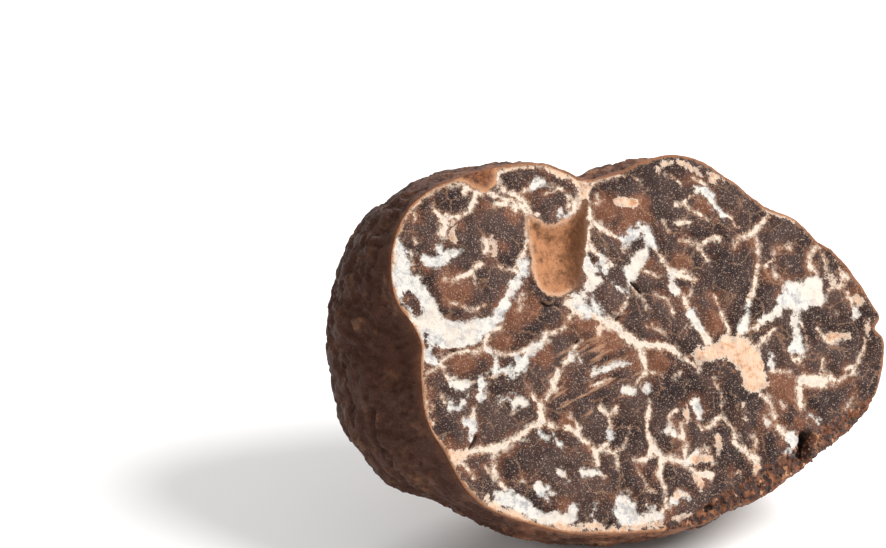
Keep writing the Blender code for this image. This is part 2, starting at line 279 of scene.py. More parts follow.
    (0.2, 0.3, ((17.3, 1), (16.2, 0.5), (15.3, 0.2), (14.2, -0), (13.3, -0.2))),
    (0.45, 0.5, ((0.3, 0.8), (1.6, 0.3), (2.9, -0), (4.3, -0.6))),
    (0.3, 0.25, ((4.2, -0.7), (5.1, -1.5), (5.9, -2.2))),
    (0.15, 0.15, ((5.9, -2.2), (6.5, -2.7), (7.2, -3.5))),
    (0.3, 0.25, ((0.6, -0.5), (0.4, -1.5), (0.4, -2.5))),
    (0.2, 0.12, ((0.4, -2.5), (-0.4, -3), (-1.3, -3.9))),
    (0.1, 0.15, ((0.6, -2.6), (1.5, -2.9), (2.1, -3.2), (2.4, -3.5))),
    (0.08, 0.1, ((3.6, -3.8), (4.1, -3.6), (4.7, -3.3))),
    (0.12, 0.12, ((3.1, 6.3), (3.6, 5.9), (4.3, 5.6), (4.9, 5.2))),
    (0.2, 0.12, ((4.9, 5.2), (5, 4.6), (5.2, 3.9), (5.4, 3.2))),
    (0.1, 0.08, ((2.3, 2.6), (2.8, 2), (3.6, 1.4))), (0.1, 0.1, ((1.6, 2.5), (1.7, 2.4))),
    (0.15, 0.12, ((1.9, 9.2), (3, 8.9), (3.9, 8.3), (4.4, 8.1))), (0.12, 0.12, ((8.6, -4.9), (8.7, -5.6))),
    (0.25, 0.25, ((16.4, 0.8), (15.4, 0.2), (14.1, 0.2))),
    (0.25, 0.35, ((14.9, -2.1), (15.8, -1.6), (16.6, -0.9), (17.6, -0.4))),
    (0.08, 0.08, ((21.3, -0.2), (21.6, -1.1), (21.6, -2.1), (21.6, -3))),
    (0.2, 0.15, ((19.2, -3.2), (19.4, -4), (19.6, -4.6))),
    (0.12, 0.3, ((23.3, -1.2), (23.6, -1.9), (24, -2.6))),
    (0.35, 0.3, ((24, -2.6), (24.7, -3), (25.9, -3))),
    (0.2, 0.2, ((29.4, -3.3), (29, -4.4), (28.2, -5.4), (27.6, -6.2))),
    (0.22, 0.2, ((27.6, -6.3), (26.8, -6.5), (26, -6.6))),
    (0.15, 0.25, ((27.5, -6.7), (26.8, -7.2), (25.8, -7.5))),
    (0.3, 0.3, ((25.7, -7.6), (24.7, -7.8), (23.8, -7.4), (23.3, -6.9))),
    (0.2, 0.35, ((28.3, 2.4), (28.5, 1.5), (28.7, 0.5))), (0.08, 0.08, ((26.2, 0.6), (26.4, 0.1))),
    (0.15, 0.15, ((27.9, 4.9), (28, 4.2), (28.3, 3.5))),
    (0.2, 0.2, ((28.3, 3.4), (27.4, 3.3), (26.6, 3.2), (25.7, 3.1))),
    (0.2, 0.25, ((23.2, -5), (22.9, -5.8), (22.4, -6.4))),
    (0.25, 0.2, ((22.8, -6.9), (23.4, -7.7), (24.2, -8))),
    (0.85, 0.8, ((20.1, -7), (21.6, -7.3), (22.6, -7.6))),
    (0.45, 0.4, ((19.3, -7.8), (19.4, -8.6), (19.3, -9.2))),
    (0.3, 0.2, ((16.2, -5.1), (17.3, -5.4), (18.7, -5.8))),
    (0.35, 0.3, ((20.6, -3.6), (20.1, -4.4), (20.2, -4.8))),
    (0.1, 0.3, ((-25, -0.9), (-24.7, -1.8), (-24, -2.4))),
    (0.3, 0.35, ((-21.4, -3.2), (-21.7, -3.9), (-22.1, -4.6))),
    (0.2, 0.2, ((-22.8, -4.1), (-22.7, -4.6), (-22.3, -4.9))),
    (0.5, 0.55, ((-23.7, -8), (-22.5, -7.8), (-21.1, -7.9), (-19.7, -7.9), (-18.5, -7.8))),
    (0.4, 0.25, ((-18.5, -7.8), (-17.4, -7.4), (-16.4, -7.2), (-15.4, -6.8))),
    (0.25, 0.4, ((-19.8, -8.3), (-20.1, -8.9), (-20.3, -9.8))),
    (0.35, 0.25, ((-20.3, -9.8), (-20.4, -10.6), (-20.3, -11.3), (-19.9, -12.1), (-19.4, -12.8))),
    (0.2, 0.22, ((-24, -8.9), (-23.4, -9.8), (-23, -10.7))), (0.1, 0.1, ((-21.3, -9.7), (-21.1, -10.4))),
    (0.12, 0.12, ((-16.1, -3.7), (-16.7, -4.1), (-17, -4.5))),
    (0.12, 0.15, ((-14.1, -2), (-14, -3.2), (-13.6, -3.7))),
    (0.1, 0.1, ((-26.2, -3.5), (-26.6, -4.1), (-26.6, -4.9), (-26, -5.7))),
    (0.08, 0.08, ((-26.9, -1.7), (-26.5, -1.5))), (0.1, 0.1, ((-27.2, -2.4), (-26.5, -2.6), (-26.1, -2.3))),
    (0.4, 0.35, ((-10.3, -0.6), (-10.8, -1.4), (-11.3, -2.1))),
    (0.3, 0.15, ((-11.3, -2.1), (-11.9, -2.9), (-12.6, -3.7))),
    (0.12, 0.15, ((-14.1, -2.2), (-13.9, -3.1), (-13.5, -3.9))),
    (0.45, 0.5, ((-13.2, -3.9), (-13.4, -4.8), (-13.5, -5.6), (-13.8, -6.3))),
    (0.35, 0.35, ((-16.7, -7), (-15.4, -6.6), (-14.1, -6.3), (-13.2, -6.3))),
    (0.35, 0.25, ((-12.9, -6.3), (-12.4, -6.8), (-12, -7.1))),
    (0.15, 0.3, ((-10, -6), (-9.5, -6.8), (-9.3, -7.6))),
    (0.4, 0.35, ((-10.7, -7.2), (-9.9, -7.8), (-9.3, -8.5), (-8.7, -9.2), (-8, -10))),
    (0.12, 0.3, ((-6.3, -5.5), (-5.8, -6.2), (-5.4, -6.8))),
    (0.2, 0.2, ((-4.1, -6), (-4.7, -6.5), (-5.3, -6.8))),
    (0.28, 0.28, ((-5.3, -7), (-5.4, -7.9), (-5.5, -8.6))),
    (0.3, 0.35, ((-6.1, -9.9), (-6.9, -10.3), (-7.6, -10.4))),
    (0.35, 0.3, ((-7.7, -10.3), (-7.8, -11.1), (-8, -12.2))), (0.2, 0.15, ((-7.9, -12.8), (-7.4, -13.5))),
    (0.15, 0.12, ((-6.6, -10.6), (-5.7, -11), (-5.3, -11.8), (-5.4, -13.1))),
    (0.15, 0.15, ((-3.1, -8.6), (-3.5, -9.6), (-4.2, -10.5), (-5.3, -10.9))),
    (0.25, 0.3, ((-0.3, -7.3), (-0.7, -8.3), (-0.9, -9.4))),
    (0.3, 0.5, ((-0.9, -9.4), (-0.9, -10.3), (-0.7, -11.3), (-0.3, -12.1))),
    (0.12, 0.25, ((-3.4, -12.3), (-2.5, -12.5), (-1.6, -12.4), (-0.8, -12.2))),
    (0.08, 0.08, ((-6.8, -3.1), (-5.6, -2.9), (-4.7, -2.8))), (0.1, 0.1, ((-1.1, -4.2), (-0.3, -3.6))),
    (0.2, 0.2, ((0.2, -5.7), (0, -6.4), (-0.3, -7.3))),
    (0.3, 0.3, ((-0.3, -7.3), (-0.7, -8.3), (-0.9, -9.4))),
    (0.35, 0.55, ((-0.9, -9.9), (-0.7, -10.8), (-0.4, -11.7))),
    (0.5, 0.4, ((-0.4, -11.7), (0.1, -12.3), (0.1, -13))),
    (0.3, 0.3, ((-0.9, -11.2), (-1.4, -12.2), (-2.3, -12.5))),
    (0.35, 0.3, ((0.1, -13), (-0.1, -13.6), (-0.4, -14.5))),
    (0.3, 0.15, ((-0.4, -14.5), (-0.3, -15.4), (-0.1, -16.1), (-0.2, -17))),
    (0.35, 0.3, ((0.3, -12.6), (1.3, -13), (2.2, -13.4), (2.9, -13.8))),
    (0.25, 0.2, ((3.1, -14), (3.7, -14.7), (4.1, -15.1))),
    (0.35, 0.4, ((4.1, -15.2), (5, -15.6), (5.9, -16))),
    (0.15, 0.25, ((2.2, -10), (2.7, -10.5), (3.4, -11))),
    (0.28, 0.28, ((3.5, -11), (3.4, -12), (3.1, -13.1))),
    (0.2, 0.2, ((3.4, -7.6), (2.7, -7.8), (2.1, -8.4), (2.2, -9.2))),
    (0.2, 0.25, ((3.5, -9.2), (3.4, -10.1), (3.5, -10.9))), (0.15, 0.15, ((4.7, -8.8), (3.9, -8.9))),
    (0.12, 0.25, ((5.5, -9.7), (6, -10.2), (6.9, -10.2))),
    (0.25, 0.35, ((6.9, -10.2), (7.8, -9.8), (8.7, -9.2))),
    (0.12, 0.15, ((9.1, -7.2), (9, -8.2), (9.1, -9))),
    (0.2, 0.2, ((9.1, -9.6), (9.5, -10.4), (9.9, -11.1))),
    (0.25, 0.3, ((9.9, -11.3), (9.8, -12.2), (10, -12.8))),
    (0.4, 0.4, ((9.6, -12.4), (10.5, -13.5), (11.2, -14.2))), (0.12, 0.15, ((8.7, -5), (8.8, -5.6))),
    (0.1, 0.12, ((8.8, -5.7), (9.1, -6.4), (9.2, -7.1))),
    (0.12, 0.25, ((12.4, -12.3), (12.4, -13.2), (12.1, -14.1))), (0.5, 0.4, ((11.5, -14.5), (11.9, -15.4))),
    (0.25, 0.25, ((14.3, -7.7), (15.2, -8.6))), (0.12, 0.12, ((4.7, -13), (5.6, -12.7), (6.5, -13.1))),
    (0.15, 0.12, ((6.6, -13.5), (6.5, -14.4), (6, -15))), (0.12, 0.1, ((8.8, -16.1), (9.6, -16))),
    (0.4, 0.35, ((19.3, -8.3), (19.2, -9.4), (19.2, -10.2))),
    (0.25, 0.2, ((14.4, -7.7), (15.1, -8.2), (15.5, -8.9))),
    (0.2, 0.35, ((15.5, -9), (15.4, -9.8), (15.5, -10.7))),
    (0.45, 0.5, ((15.5, -11.4), (16, -12.3), (16.6, -13.1))), (0.35, 0.25, ((14.3, -10.7), (14.9, -11.3))),
    (0.12, 0.2, ((16.6, -8.9), (16.9, -9.5))), (0.15, 0.2, ((12, -12.3), (12.5, -12.5))),
    (0.2, 0.15, ((12.5, -12.5), (12.4, -13.3), (12, -13.9))),
    (0.35, 0.4, ((10.9, -13.5), (11.6, -14.3), (12.1, -14.9))),
    (0.06, 0.06, ((26.4, -9.5), (25.6, -10.5), (24.9, -11.3))), (0.12, 0.1, ((17.4, -12.9), (18.4, -13.4))),
    (0.12, 0.2, ((-19.7, -12), (-19.3, -12.8), (-19.3, -13.4))),
    (0.2, 0.25, ((-12.8, -12), (-12.2, -12.3))), (0.15, 0.1, ((-12.1, -12.5), (-11.6, -13.2))),
    (0.12, 0.1, ((-17.6, -12.2), (-17.2, -12.2), (-17, -12.5))),
    (0.3, 0.3, ((-1.4, -19), (-0.5, -18.3), (-0.3, -17.5))),
    (0.2, 0.25, ((-0.2, -16.9), (-0.2, -15.7), (-0.5, -14.9), (-0.5, -14.2))),
    (0.15, 0.1, ((-3, -13.8), (-2.6, -14.4), (-2.3, -15.5))),
    (0.12, 0.1, ((-2.3, -15.5), (-2, -16.1), (-1.3, -16.5))),
    (0.4, 0.35, ((4.1, -15.1), (4.9, -15.4), (6, -15.6))),
    (0.15, 0.15, ((4.5, -13.7), (4.8, -13), (5.7, -12.8), (6.5, -13.2))),
    (0.2, 0.2, ((-0.6, -18.4), (0.2, -18.4), (0.6, -18))), (0.12, 0.12, ((8.7, -16.1), (9.1, -16.1))),
)

# Broad chalky veins and patches, fuzzier at their edges.
CHALK = (
    (0.7, 0.9, ((-27, 16.6), (-26.5, 15.7), (-26.5, 14.6))),
    (1.0, 1.1, ((-26.6, 14.1), (-26.6, 12.4), (-26.6, 11.3))),
    (0.9, 1.3, ((-27.8, 13.6), (-26.8, 12.3), (-26.2, 11), (-25.3, 9.6))),
    (1.1, 1.3, ((-26.3, 7.4), (-25.3, 6.7), (-24.3, 6.2))),
    (0.5, 0.6, ((-4.1, 11.2), (-4, 10), (-3.7, 9))),
    (0.7, 0.6, ((-4.4, 11.1), (-3.7, 9.9), (-4.5, 8.5))),
    (0.5, 0.35, ((-23.6, 14.4), (-22.7, 14), (-21.8, 14))),
    (0.2, 0.2, ((-21.8, 14.2), (-20.8, 14.3), (-20, 14.6))),
    (0.25, 0.2, ((-22, 15.4), (-21.2, 14.7), (-20.3, 14.5))),
    (0.5, 0.6, ((-26.7, 16.3), (-26.7, 15.2), (-26.7, 14.1), (-27, 13))),
    (0.35, 0.25, ((-8.9, 20.8), (-8.1, 21.1), (-8.4, 21.5))),
    (0.3, 0.25, ((-6.6, 17.4), (-6.5, 16.7), (-5.9, 16.6))),
    (0.5, 0.5, ((1.2, 12.9), (2.3, 13.4), (3.4, 13.9))), (0.4, 0.3, ((-2.4, 11.5), (-2.4, 10.7))),
    (0.5, 0.5, ((3, 11.3), (2.1, 10.6), (1.6, 9.8))), (0.4, 0.4, ((11.2, 17.4), (12.4, 17), (12.9, 16.6))),
    (0.3, 0.25, ((12.9, 16.6), (13, 15.7), (13.3, 14.9), (13.8, 14.4), (14.3, 14.1))),
    (0.5, 0.5, ((3.2, 14.3), (3.8, 13.7), (4.1, 12.8), (4.3, 12))),
    (0.45, 0.45, ((0.3, 13.3), (0.9, 12.7), (1.8, 13.1), (2.9, 13.8))),
    (0.4, 0.35, ((3.8, 12.3), (3.1, 11.2), (2.4, 10.5), (1.7, 9.7), (0.6, 9.2))),
    (0.9, 0.9, ((-27.5, 13.1), (-26.4, 12), (-25.6, 11.3))),
    (1.1, 1, ((-27.5, 13.1), (-26.2, 11.9), (-25.3, 10.7), (-24.6, 9.3), (-24.4, 7.9), (-23.8, 6.7))),
    (1.2, 1.1, ((-24.6, 7.1), (-22.8, 6.1), (-20.6, 5.5), (-18.8, 5.7))),
    (0.8, 0.6, ((-18.8, 5.7), (-17.3, 6.2), (-16.2, 6.9))),
    (0.6, 0.45, ((-16.2, 6.9), (-15.2, 8.1), (-14.4, 9.2), (-13.1, 10))),
    (0.8, 0.5, ((-23.6, 5.2), (-21.8, 4.6), (-20.4, 4.6), (-18.9, 5))),
    (0.9, 0.6, ((-25.5, 5.7), (-24.5, 5.5), (-23.6, 5.4))),
    (0.6, 0.5, ((-25.6, 4.4), (-25.6, 3.5), (-25, 2.8))),
    (0.5, 0.4, ((-15.9, 0.2), (-15.1, 0.4), (-14.4, 1))),
    (0.25, 0.25, ((-18.3, 3.1), (-17.7, 2.2), (-17.6, 1.3), (-17.8, 0.6))),
    (0.35, 0.3, ((-15.1, 1.7), (-14.9, 1), (-15.3, 0.2))), (0.2, 0.2, ((-17.4, 0.6), (-16.4, 0.5))),
    (0.35, 0.35, ((-19.9, -0.2), (-19.9, -1), (-20.4, -1.8))),
    (0.2, 0.2, ((-23.4, 0.3), (-22.6, -0.3), (-21.7, -0.5))),
    (0.45, 0.35, ((-14.5, 9.1), (-13.9, 9.8), (-13.2, 10.4), (-12.4, 11.4), (-12.1, 12.2))),
    (0.4, 0.4, ((-3.9, 10.6), (-4.1, 9.6), (-4.2, 8.6))),
    (0.7, 0.6, ((-6.5, 7.1), (-5.7, 6.1), (-5.3, 5.3))),
    (0.4, 0.4, ((-4.5, 6.8), (-4.3, 5.8), (-3.9, 4.4))),
    (0.35, 0.35, ((-12.3, 2.7), (-13, 2.5), (-13.5, 2), (-13.9, 1.3))),
    (0.4, 0.4, ((-13.9, 1.3), (-14.6, 0.7), (-15.4, 0.1))),
    (0.35, 0.3, ((-2.6, 10.8), (-2.1, 10.3), (-2.4, 9.8))),
    (0.4, 0.45, ((1.9, 10.2), (1.4, 9.5), (0.8, 9.2), (0.5, 8.6), (0.6, 8))),
    (0.2, 0.2, ((-1.3, 7.8), (-0.8, 7.5), (-0.1, 7.2))),
    (0.2, 0.15, ((-6.2, -1.7), (-5.2, -1.6), (-4.1, -1.3), (-3.3, -1.1), (-1.6, -1.2))),
    (0.35, 0.25, ((-8.7, 0.6), (-7.8, 0.7), (-7.5, 0.2))),
    (0.3, 0.2, ((-6.2, 7.4), (-5.3, 6.9), (-5.2, 6.5))), (0.4, 0.4, ((6.1, 8), (5.8, 6.9), (6.2, 6.1))),
    (0.45, 0.65, ((7.3, 3.4), (7.8, 2.3), (8.1, 1.5))),
    (0.2, 0.3, ((15, 2.8), (14.5, 1.9), (14.1, 1), (13.6, 0.1))),
    (0.5, 0.4, ((0.6, 9.5), (0.9, 8.7), (0.5, 7.8))), (1.1, 1, ((21.1, 3.5), (22.7, 3.6), (24.3, 3.8))),
    (0.9, 0.9, ((19.8, 2.5), (21.3, 2.3), (22.9, 2.3), (24.1, 2.4))),
    (0.4, 0.25, ((19, 1.9), (17.7, 1.3), (16.4, 0.8))),
    (0.4, 0.4, ((21.1, 1.5), (20.6, 0.4), (20.5, -0.7), (20.4, -1.6))),
    (0.25, 0.25, ((20.3, -1.8), (19.7, -2.7), (19.2, -3.2))), (0.3, 0.3, ((28.7, 0.5), (28.7, -0.3))),
    (0.5, 0.5, ((16.5, -3.7), (16.4, -4.4))), (0.25, 0.2, ((20.9, -1.7), (20.4, -2.8), (20.5, -3.8))),
    (0.2, 0.15, ((-24, -2.4), (-23.4, -2.6), (-22.3, -2.3))),
    (0.4, 0.35, ((-22.2, -4.8), (-22.2, -5.8), (-22.5, -6.5))),
    (0.25, 0.2, ((-18.1, -2.9), (-17.1, -2.7), (-16.3, -3.5))), (0.3, 0.3, ((-16, -2.9), (-15.3, -3.6))),
    (0.25, 0.2, ((-13.9, -6.7), (-14, -7.3), (-13.5, -7.9))),
    (0.15, 0.15, ((-12.1, -7.6), (-12.2, -8.4), (-11.6, -9.3))), (0.28, 0.3, ((-5.5, -8.6), (-5.7, -9.5))),
    (0.45, 0.35, ((-9.8, -12.6), (-8.9, -12.9), (-7.9, -12.8))), (0.35, 0.35, ((-2.7, -4.3), (-1.7, -4.3))),
    (0.3, 0.3, ((0.1, -4.4), (0.2, -4.8))), (0.4, 0.35, ((-15.6, -13), (-15.2, -13.7), (-15.1, -14.3))),
    (0.2, 0.2, ((-12.8, -12), (-12.2, -12.3), (-11.7, -13.2))),
    (0.12, 0.12, ((0.9, -9.8), (1.8, -9.7), (2.3, -10))), (0.4, 0.3, ((5.7, -7.1), (5.8, -8), (5.8, -8.8))),
    (0.3, 0.3, ((14.4, -11), (14.5, -11.2))), (0.3, 0.3, ((3.4, -13.8), (4.1, -13.4), (4.6, -13))),
    (0.3, 0.1, ((20.1, -11.1), (20.5, -11.6), (20.9, -12.3))),
    (0.5, 0.4, ((17, -13.5), (17.5, -14.2), (17.7, -14.9))), (0.3, 0.3, ((16.1, -15), (17.1, -15.5))),
    (0.8, 0.8, ((-20.2, -13.6), (-18.6, -14.1), (-17.7, -14.9))),
    (0.7, 0.7, ((-17, -15.8), (-15.5, -16.9), (-13.9, -17.3))),
    (0.6, 0.4, ((-13.5, -17.4), (-12.4, -17.3), (-11.8, -16.5))),
    (0.35, 0.3, ((-15.7, -13.3), (-15.2, -14.2), (-14.7, -14.2))),
    (0.25, 0.25, ((-14.4, -13.6), (-14.3, -14.2), (-14.8, -14.8))),
    (0.75, 0.7, ((-6, -16.7), (-6.3, -17.9))), (0.2, 0.2, ((-9.2, -16.7), (-9.6, -17.7), (-9.4, -18.5))),
    (0.8, 0.7, ((-5.4, -16.8), (-5.5, -17.9), (-6, -18.8))),
    (0.7, 0.6, ((-5.3, -18.9), (-3.8, -19.2), (-2.1, -19.1))),
    (0.4, 0.35, ((0.7, -17.9), (1.7, -17.4), (2.6, -17.8))),
)

# Tan places: the hub where the veins meet, and pale patches against the rim.
TAN = (
    (0.25, 0.25, ((-19.7, 18.1), (-19.9, 17.3), (-20.2, 16.4))),
    (0.25, 0.3, ((-15.3, 15.7), (-15.3, 14.6), (-15.4, 13.7))),
    (0.25, 0.25, ((-6.7, 22.5), (-5.9, 22), (-5, 21.5), (-4.1, 21), (-3.4, 20.4), (-3.1, 19.9))),
    (0.35, 0.35, ((-2.7, 20.2), (-2.7, 19.3), (-3.2, 18.2), (-3.6, 17.4), (-3.9, 16.3))),
    (0.3, 0.3, ((0.8, 17.4), (2.7, 16.9))),
    (0.12, 0.12, ((6.8, 20.6), (9, 21.1), (10.1, 20.6), (11.2, 19.9), (12.2, 19))),
    (0.1, 0.1, ((11.1, 20), (12.5, 18.9), (13.7, 18))),
    (0.1, 0.1, ((12.9, 19.3), (14.6, 18.2), (15.9, 17.4))),
    (0.45, 0.35, ((26, 4.4), (26.5, 3.7), (27.1, 3.4))),
    (0.2, 0.2, ((19.9, 13.6), (20.9, 13), (22, 12.8), (22.8, 12.2))),
    (0.15, 0.15, ((-4.8, 4.6), (-4, 3.9), (-4.7, 2.7))),
    (1.3, 1.4, ((11.2, -1.5), (12.5, -2.7), (13.5, -4.1), (13.7, -5.9))),
    (0.7, 1, ((7, -1.8), (8.9, -1.8), (10.8, -1.7))), (0.9, 1, ((12.8, -1.3), (14.1, -2.9), (14.6, -4.3))),
    (0.35, 0.25, ((24.9, -2.6), (26, -2.6), (27.1, -2.9))), (0.4, 0.4, ((26.3, 4.1), (26.9, 3.6))),
    (0.5, 0.5, ((29.1, 1.4), (29.4, 1))), (0.35, 0.3, ((29.7, -1.7), (29.8, -2.7), (29.9, -3.3))),
    (0.5, 0.35, ((-25.1, -8), (-24.2, -8), (-23.5, -7.8))), (0.45, 0.4, ((4.1, -8.1), (4.3, -8.5))),
    (0.1, 0.1, ((11.5, -8.5), (11.5, -9.3), (11.6, -10.1))), (0.5, 0.4, ((11.9, -15.9), (11.7, -16.8))),
    (0.5, 0.3, ((4.4, -13.7), (5.4, -13.8), (6.2, -14))),
    (0.3, 0.25, ((7.5, -11.7), (7.5, -12.7), (7.2, -13.6))),
    (0.35, 0.35, ((4.2, -15.6), (4.4, -16.5), (4, -17.3))), (0.3, 0.3, ((1.1, -17.3), (2.3, -17.5))),
    (0.15, 0.15, ((22.3, -14.2), (23.7, -13.6), (25.2, -13), (26, -12.7))),
    (0.35, 0.35, ((20.6, -14.6), (19.9, -15.6), (19.6, -16.4))),
    (0.35, 0.35, ((-14.5, -17.9), (-12.5, -18.6), (-10.4, -18.7), (-9.1, -18.8))),
    (0.35, 0.35, ((-8.7, -19.5), (-7.5, -19.8), (-5.9, -19.9))),
    (0.3, 0.3, ((-22.1, -13.4), (-21.1, -14.5), (-19.7, -15.4), (-18.4, -16.1), (-17.4, -16.9))),
    (0.3, 0.3, ((-5.3, -19.9), (-3.3, -19.9), (-1.9, -20.1))),
    (0.25, 0.25, ((0.6, -20), (1.7, -19.9), (2.2, -19.8))),
)

# Where the flesh is rusty, as (u, v, reach).
RUST_SPOTS = (
    (-15.5, 19.6, 0.6), (-19.2, 17.7, 0.5), (-12.3, 17.9, 1), (-14.8, 14.5, 0.8), (-24, 13.7, 0.7),
    (-21.3, 10.9, 2), (-21.9, 13.7, 0.6), (-0.8, 17, 1.8), (1.1, 14.2, 1.2), (-2, 16.9, 0.6),
    (3.6, 16.9, 1), (3.8, 15.1, 1), (11.5, 15.3, 1.2), (17, 10.2, 0.8), (3.9, 15.6, 0.7), (3.3, 9.8, 0.7),
    (7, 8.8, 0.8), (3.5, 16.8, 1), (2.1, 16, 1.5), (18.3, 6.1, 1), (29.2, 2.4, 0.8), (-21.1, 10.5, 2.2),
    (-16.8, 3.7, 1.3), (-21.8, 2.3, 1.5), (-26.7, -0.5, 0.8), (-15.1, 6.8, 2), (-5.8, 4.5, 1.6),
    (-3.9, 2, 2), (-12.3, 1.5, 1.5), (-1, -1.1, 1.2), (-12.6, 7, 1.5), (1.4, -1.9, 1), (7.9, 3.7, 0.6),
    (10, 1.6, 1.5), (7.3, 9.1, 1.2), (2, -1.7, 1.5), (29.1, 1.8, 1), (29.8, -2.2, 0.6), (17.3, -7.5, 2),
    (-26.8, -2, 0.8), (-25.3, -6.7, 0.6), (-24.8, -7.3, 0.6), (-10.6, -6.8, 1.2), (17.4, -7.1, 2),
    (18.4, -11.9, 0.8), (15.5, -13.7, 0.6), (-13.1, -15.8, 0.8), (4.5, -16.5, 0.8),
)

# Dark orange lines beside the hub.
RUST = (
    (0.12, 0.12, ((5.8, -1.6), (7.1, -2.3), (8.1, -2.6))),
    (0.15, 0.12, ((10.3, -3.4), (10.9, -4), (11.2, -4.5))),
)

# Cells of dark tissue that show through the chalk, and the dark cavity by the broken rim.
DARK_CELLS = (
    (0.2, 0.15, ((-3.9, 12), (-3.5, 11.1), (-3.3, 10.5))),
    (0.8, 0.7, ((-26.6, 10.4), (-26, 9.6), (-25.9, 8.7))),
    (0.65, 0.55, ((-22.5, 8.5), (-21.6, 8.1), (-20.8, 7.9))),
    (0.35, 0.3, ((-18.5, 7.2), (-17.3, 7.6), (-16.4, 8.3))),
    (0.3, 0.3, ((-25.1, 6.3), (-25.5, 5.5), (-25.7, 4.7))), (0.35, 0.3, ((-24.1, -6.5), (-23.2, -6.5))),
    (0.8, 0.7, ((19.8, -12.5), (19, -13.7), (18.3, -14.5))), (0.5, 0.45, ((-16.1, -15), (-15.2, -15.5))),
    (0.3, 0.3, ((-6.9, -16.4), (-7.7, -17.3), (-7.9, -18.3))),
    (0.35, 0.3, ((-6.8, -16.1), (-7.4, -17.1), (-7.8, -18))),
)

# Fine open cracks, darkened with painted shade.
CRACKS = (
    (0.08, 0.08, ((-22.9, 3.8), (-22.3, 3.6))), (0.12, 0.12, ((-2.1, 4), (-1.6, 4.2))),
    (0.12, 0.1, ((0.7, 7.9), (1.2, 7.3), (1.6, 6.6))),
    (0.1, 0.08, ((-11, 7.4), (-10.6, 7), (-10.1, 6.8), (-9.5, 6.9), (-8.9, 6.6))),
    (0.1, 0.08, ((-7.3, 2.3), (-7.7, 2.1))), (0.15, 0.12, ((0.8, 7.8), (1.3, 7.1), (1.7, 6.6))),
    (0.12, 0.1, ((-21.8, -6.3), (-22.2, -6.9), (-22.8, -7.5))),
    (0.15, 0.15, ((-7.7, -18.8), (-8.4, -19.4))), (0.35, 0.3, ((4.4, -19.5), (5, -19.4))),
)

# The cavity beside the broken rim, and a small hole under it, darkened with painted shade.
DARK_HOLES = ((0.75, 0.6, ((18.9, -13.6), (18.5, -14.8), (18.0, -15.6))),)

# Open cracks in the skin, darkened with painted shade, as strokes in (degrees round the rim, millimetres
# behind it).
SKIN_CRACKS = (
    (0.3, 0.1, ((182, 6.5), (187, 7.4), (193, 7.6), (198, 8.4))),
        (0.1, 0.25, ((190, 10), (196, 10.6), (203, 10.2))),
    (0.2, 0.1, ((172, 9), (178, 9.6), (184, 10.4))), (0.25, 0.15, ((118, 3.2), (121, 3.6))),
)


# ---------------------------------------------------------------- the surface, as points in millimetres


def smooth_line(points, closed=False, steps=6):
    """The points of a Catmull-Rom curve through these points."""
    given = np.array(points, float)
    if closed:
        given = np.vstack([given[-1:], given, given[:2]])
    else:
        given = np.vstack([2 * given[:1] - given[1:2], given, 2 * given[-1:] - given[-2:-1]])
    along = np.linspace(0, 1, steps, endpoint=False)[:, None]
    pieces = []
    for before, start, end, after in zip(given, given[1:], given[2:], given[3:]):
        pieces.append(
            0.5 * (2 * start + (end - before) * along
                   + (2 * before - 5 * start + 4 * end - after) * along**2
                   + (3 * start - before - 3 * end + after) * along**3)
        )
    if not closed:
        pieces.append(given[-2:-1])
    return np.concatenate(pieces)


def rim_radii():
    """Angles evenly round the middle of the cut, and how far out the rim lies at each."""
    fine = smooth_line(CUT_OUTLINE, closed=True, steps=16)
    wanted = np.linspace(0, 2 * math.pi, RIM_STEPS, endpoint=False)
    turns = np.arctan2(fine[:, 1], fine[:, 0])
    return wanted, np.interp(wanted, turns, np.hypot(fine[:, 0], fine[:, 1]), period=2 * math.pi)


def segment_distance(points, start, end):
    """How far each point lies from the straight line between two points, and how far along it."""
    run = end - start
    along = ((points - start) @ run) / max(run @ run, 1e-9)
    along = np.clip(along, 0, 1)
    gap = points - start - along[:, None] * run
    return np.hypot(gap[:, 0], gap[:, 1]), along


def stroke_field(points, strokes, reach=4.0):
    """How far each point lies outside the edge of the nearest stroke; less than nothing inside it."""
    field = np.full(len(points), reach)
    for first, last, places in strokes:
        path = smooth_line(places)
        widths = np.linspace(first, last, len(path))
        for start, end, wide, next_wide in zip(path, path[1:], widths, widths[1:]):
            room = reach + max(wide, next_wide)
            middle = (start + end) / 2
            half = np.abs(end - start) / 2 + room
            near = np.flatnonzero((np.abs(points - middle) < half).all(axis=1))
            gap, along = segment_distance(points[near], start, end)
            field[near] = np.minimum(field[near], gap - wide - (next_wide - wide) * along)
    return field


def spot_field(points, spots):
    """How far each point lies outside the nearest of some round spots."""
    return np.min([np.hypot(points[:, 0] - u, points[:, 1] - v) - reach for u, v, reach in spots], axis=0)


def outline_depth(points, outline):
    """How far each point lies inside a closed outline; less than nothing outside it."""
    edge = smooth_line(outline, closed=True)
    inside = np.zeros(len(points), bool)
    nearest = np.full(len(points), 1e9)
    u, v = points.T
    for start, end in zip(edge, np.roll(edge, -1, axis=0)):
        gap, _ = segment_distance(points, start, end)
        nearest = np.minimum(nearest, gap)
        if start[1] != end[1]:
            crosses = (start[1] > v) != (end[1] > v)
            inside ^= crosses & (u < start[0] + (v - start[1]) / (end[1] - start[1]) * (end[0] - start[0]))
    return np.where(inside, nearest, -nearest)


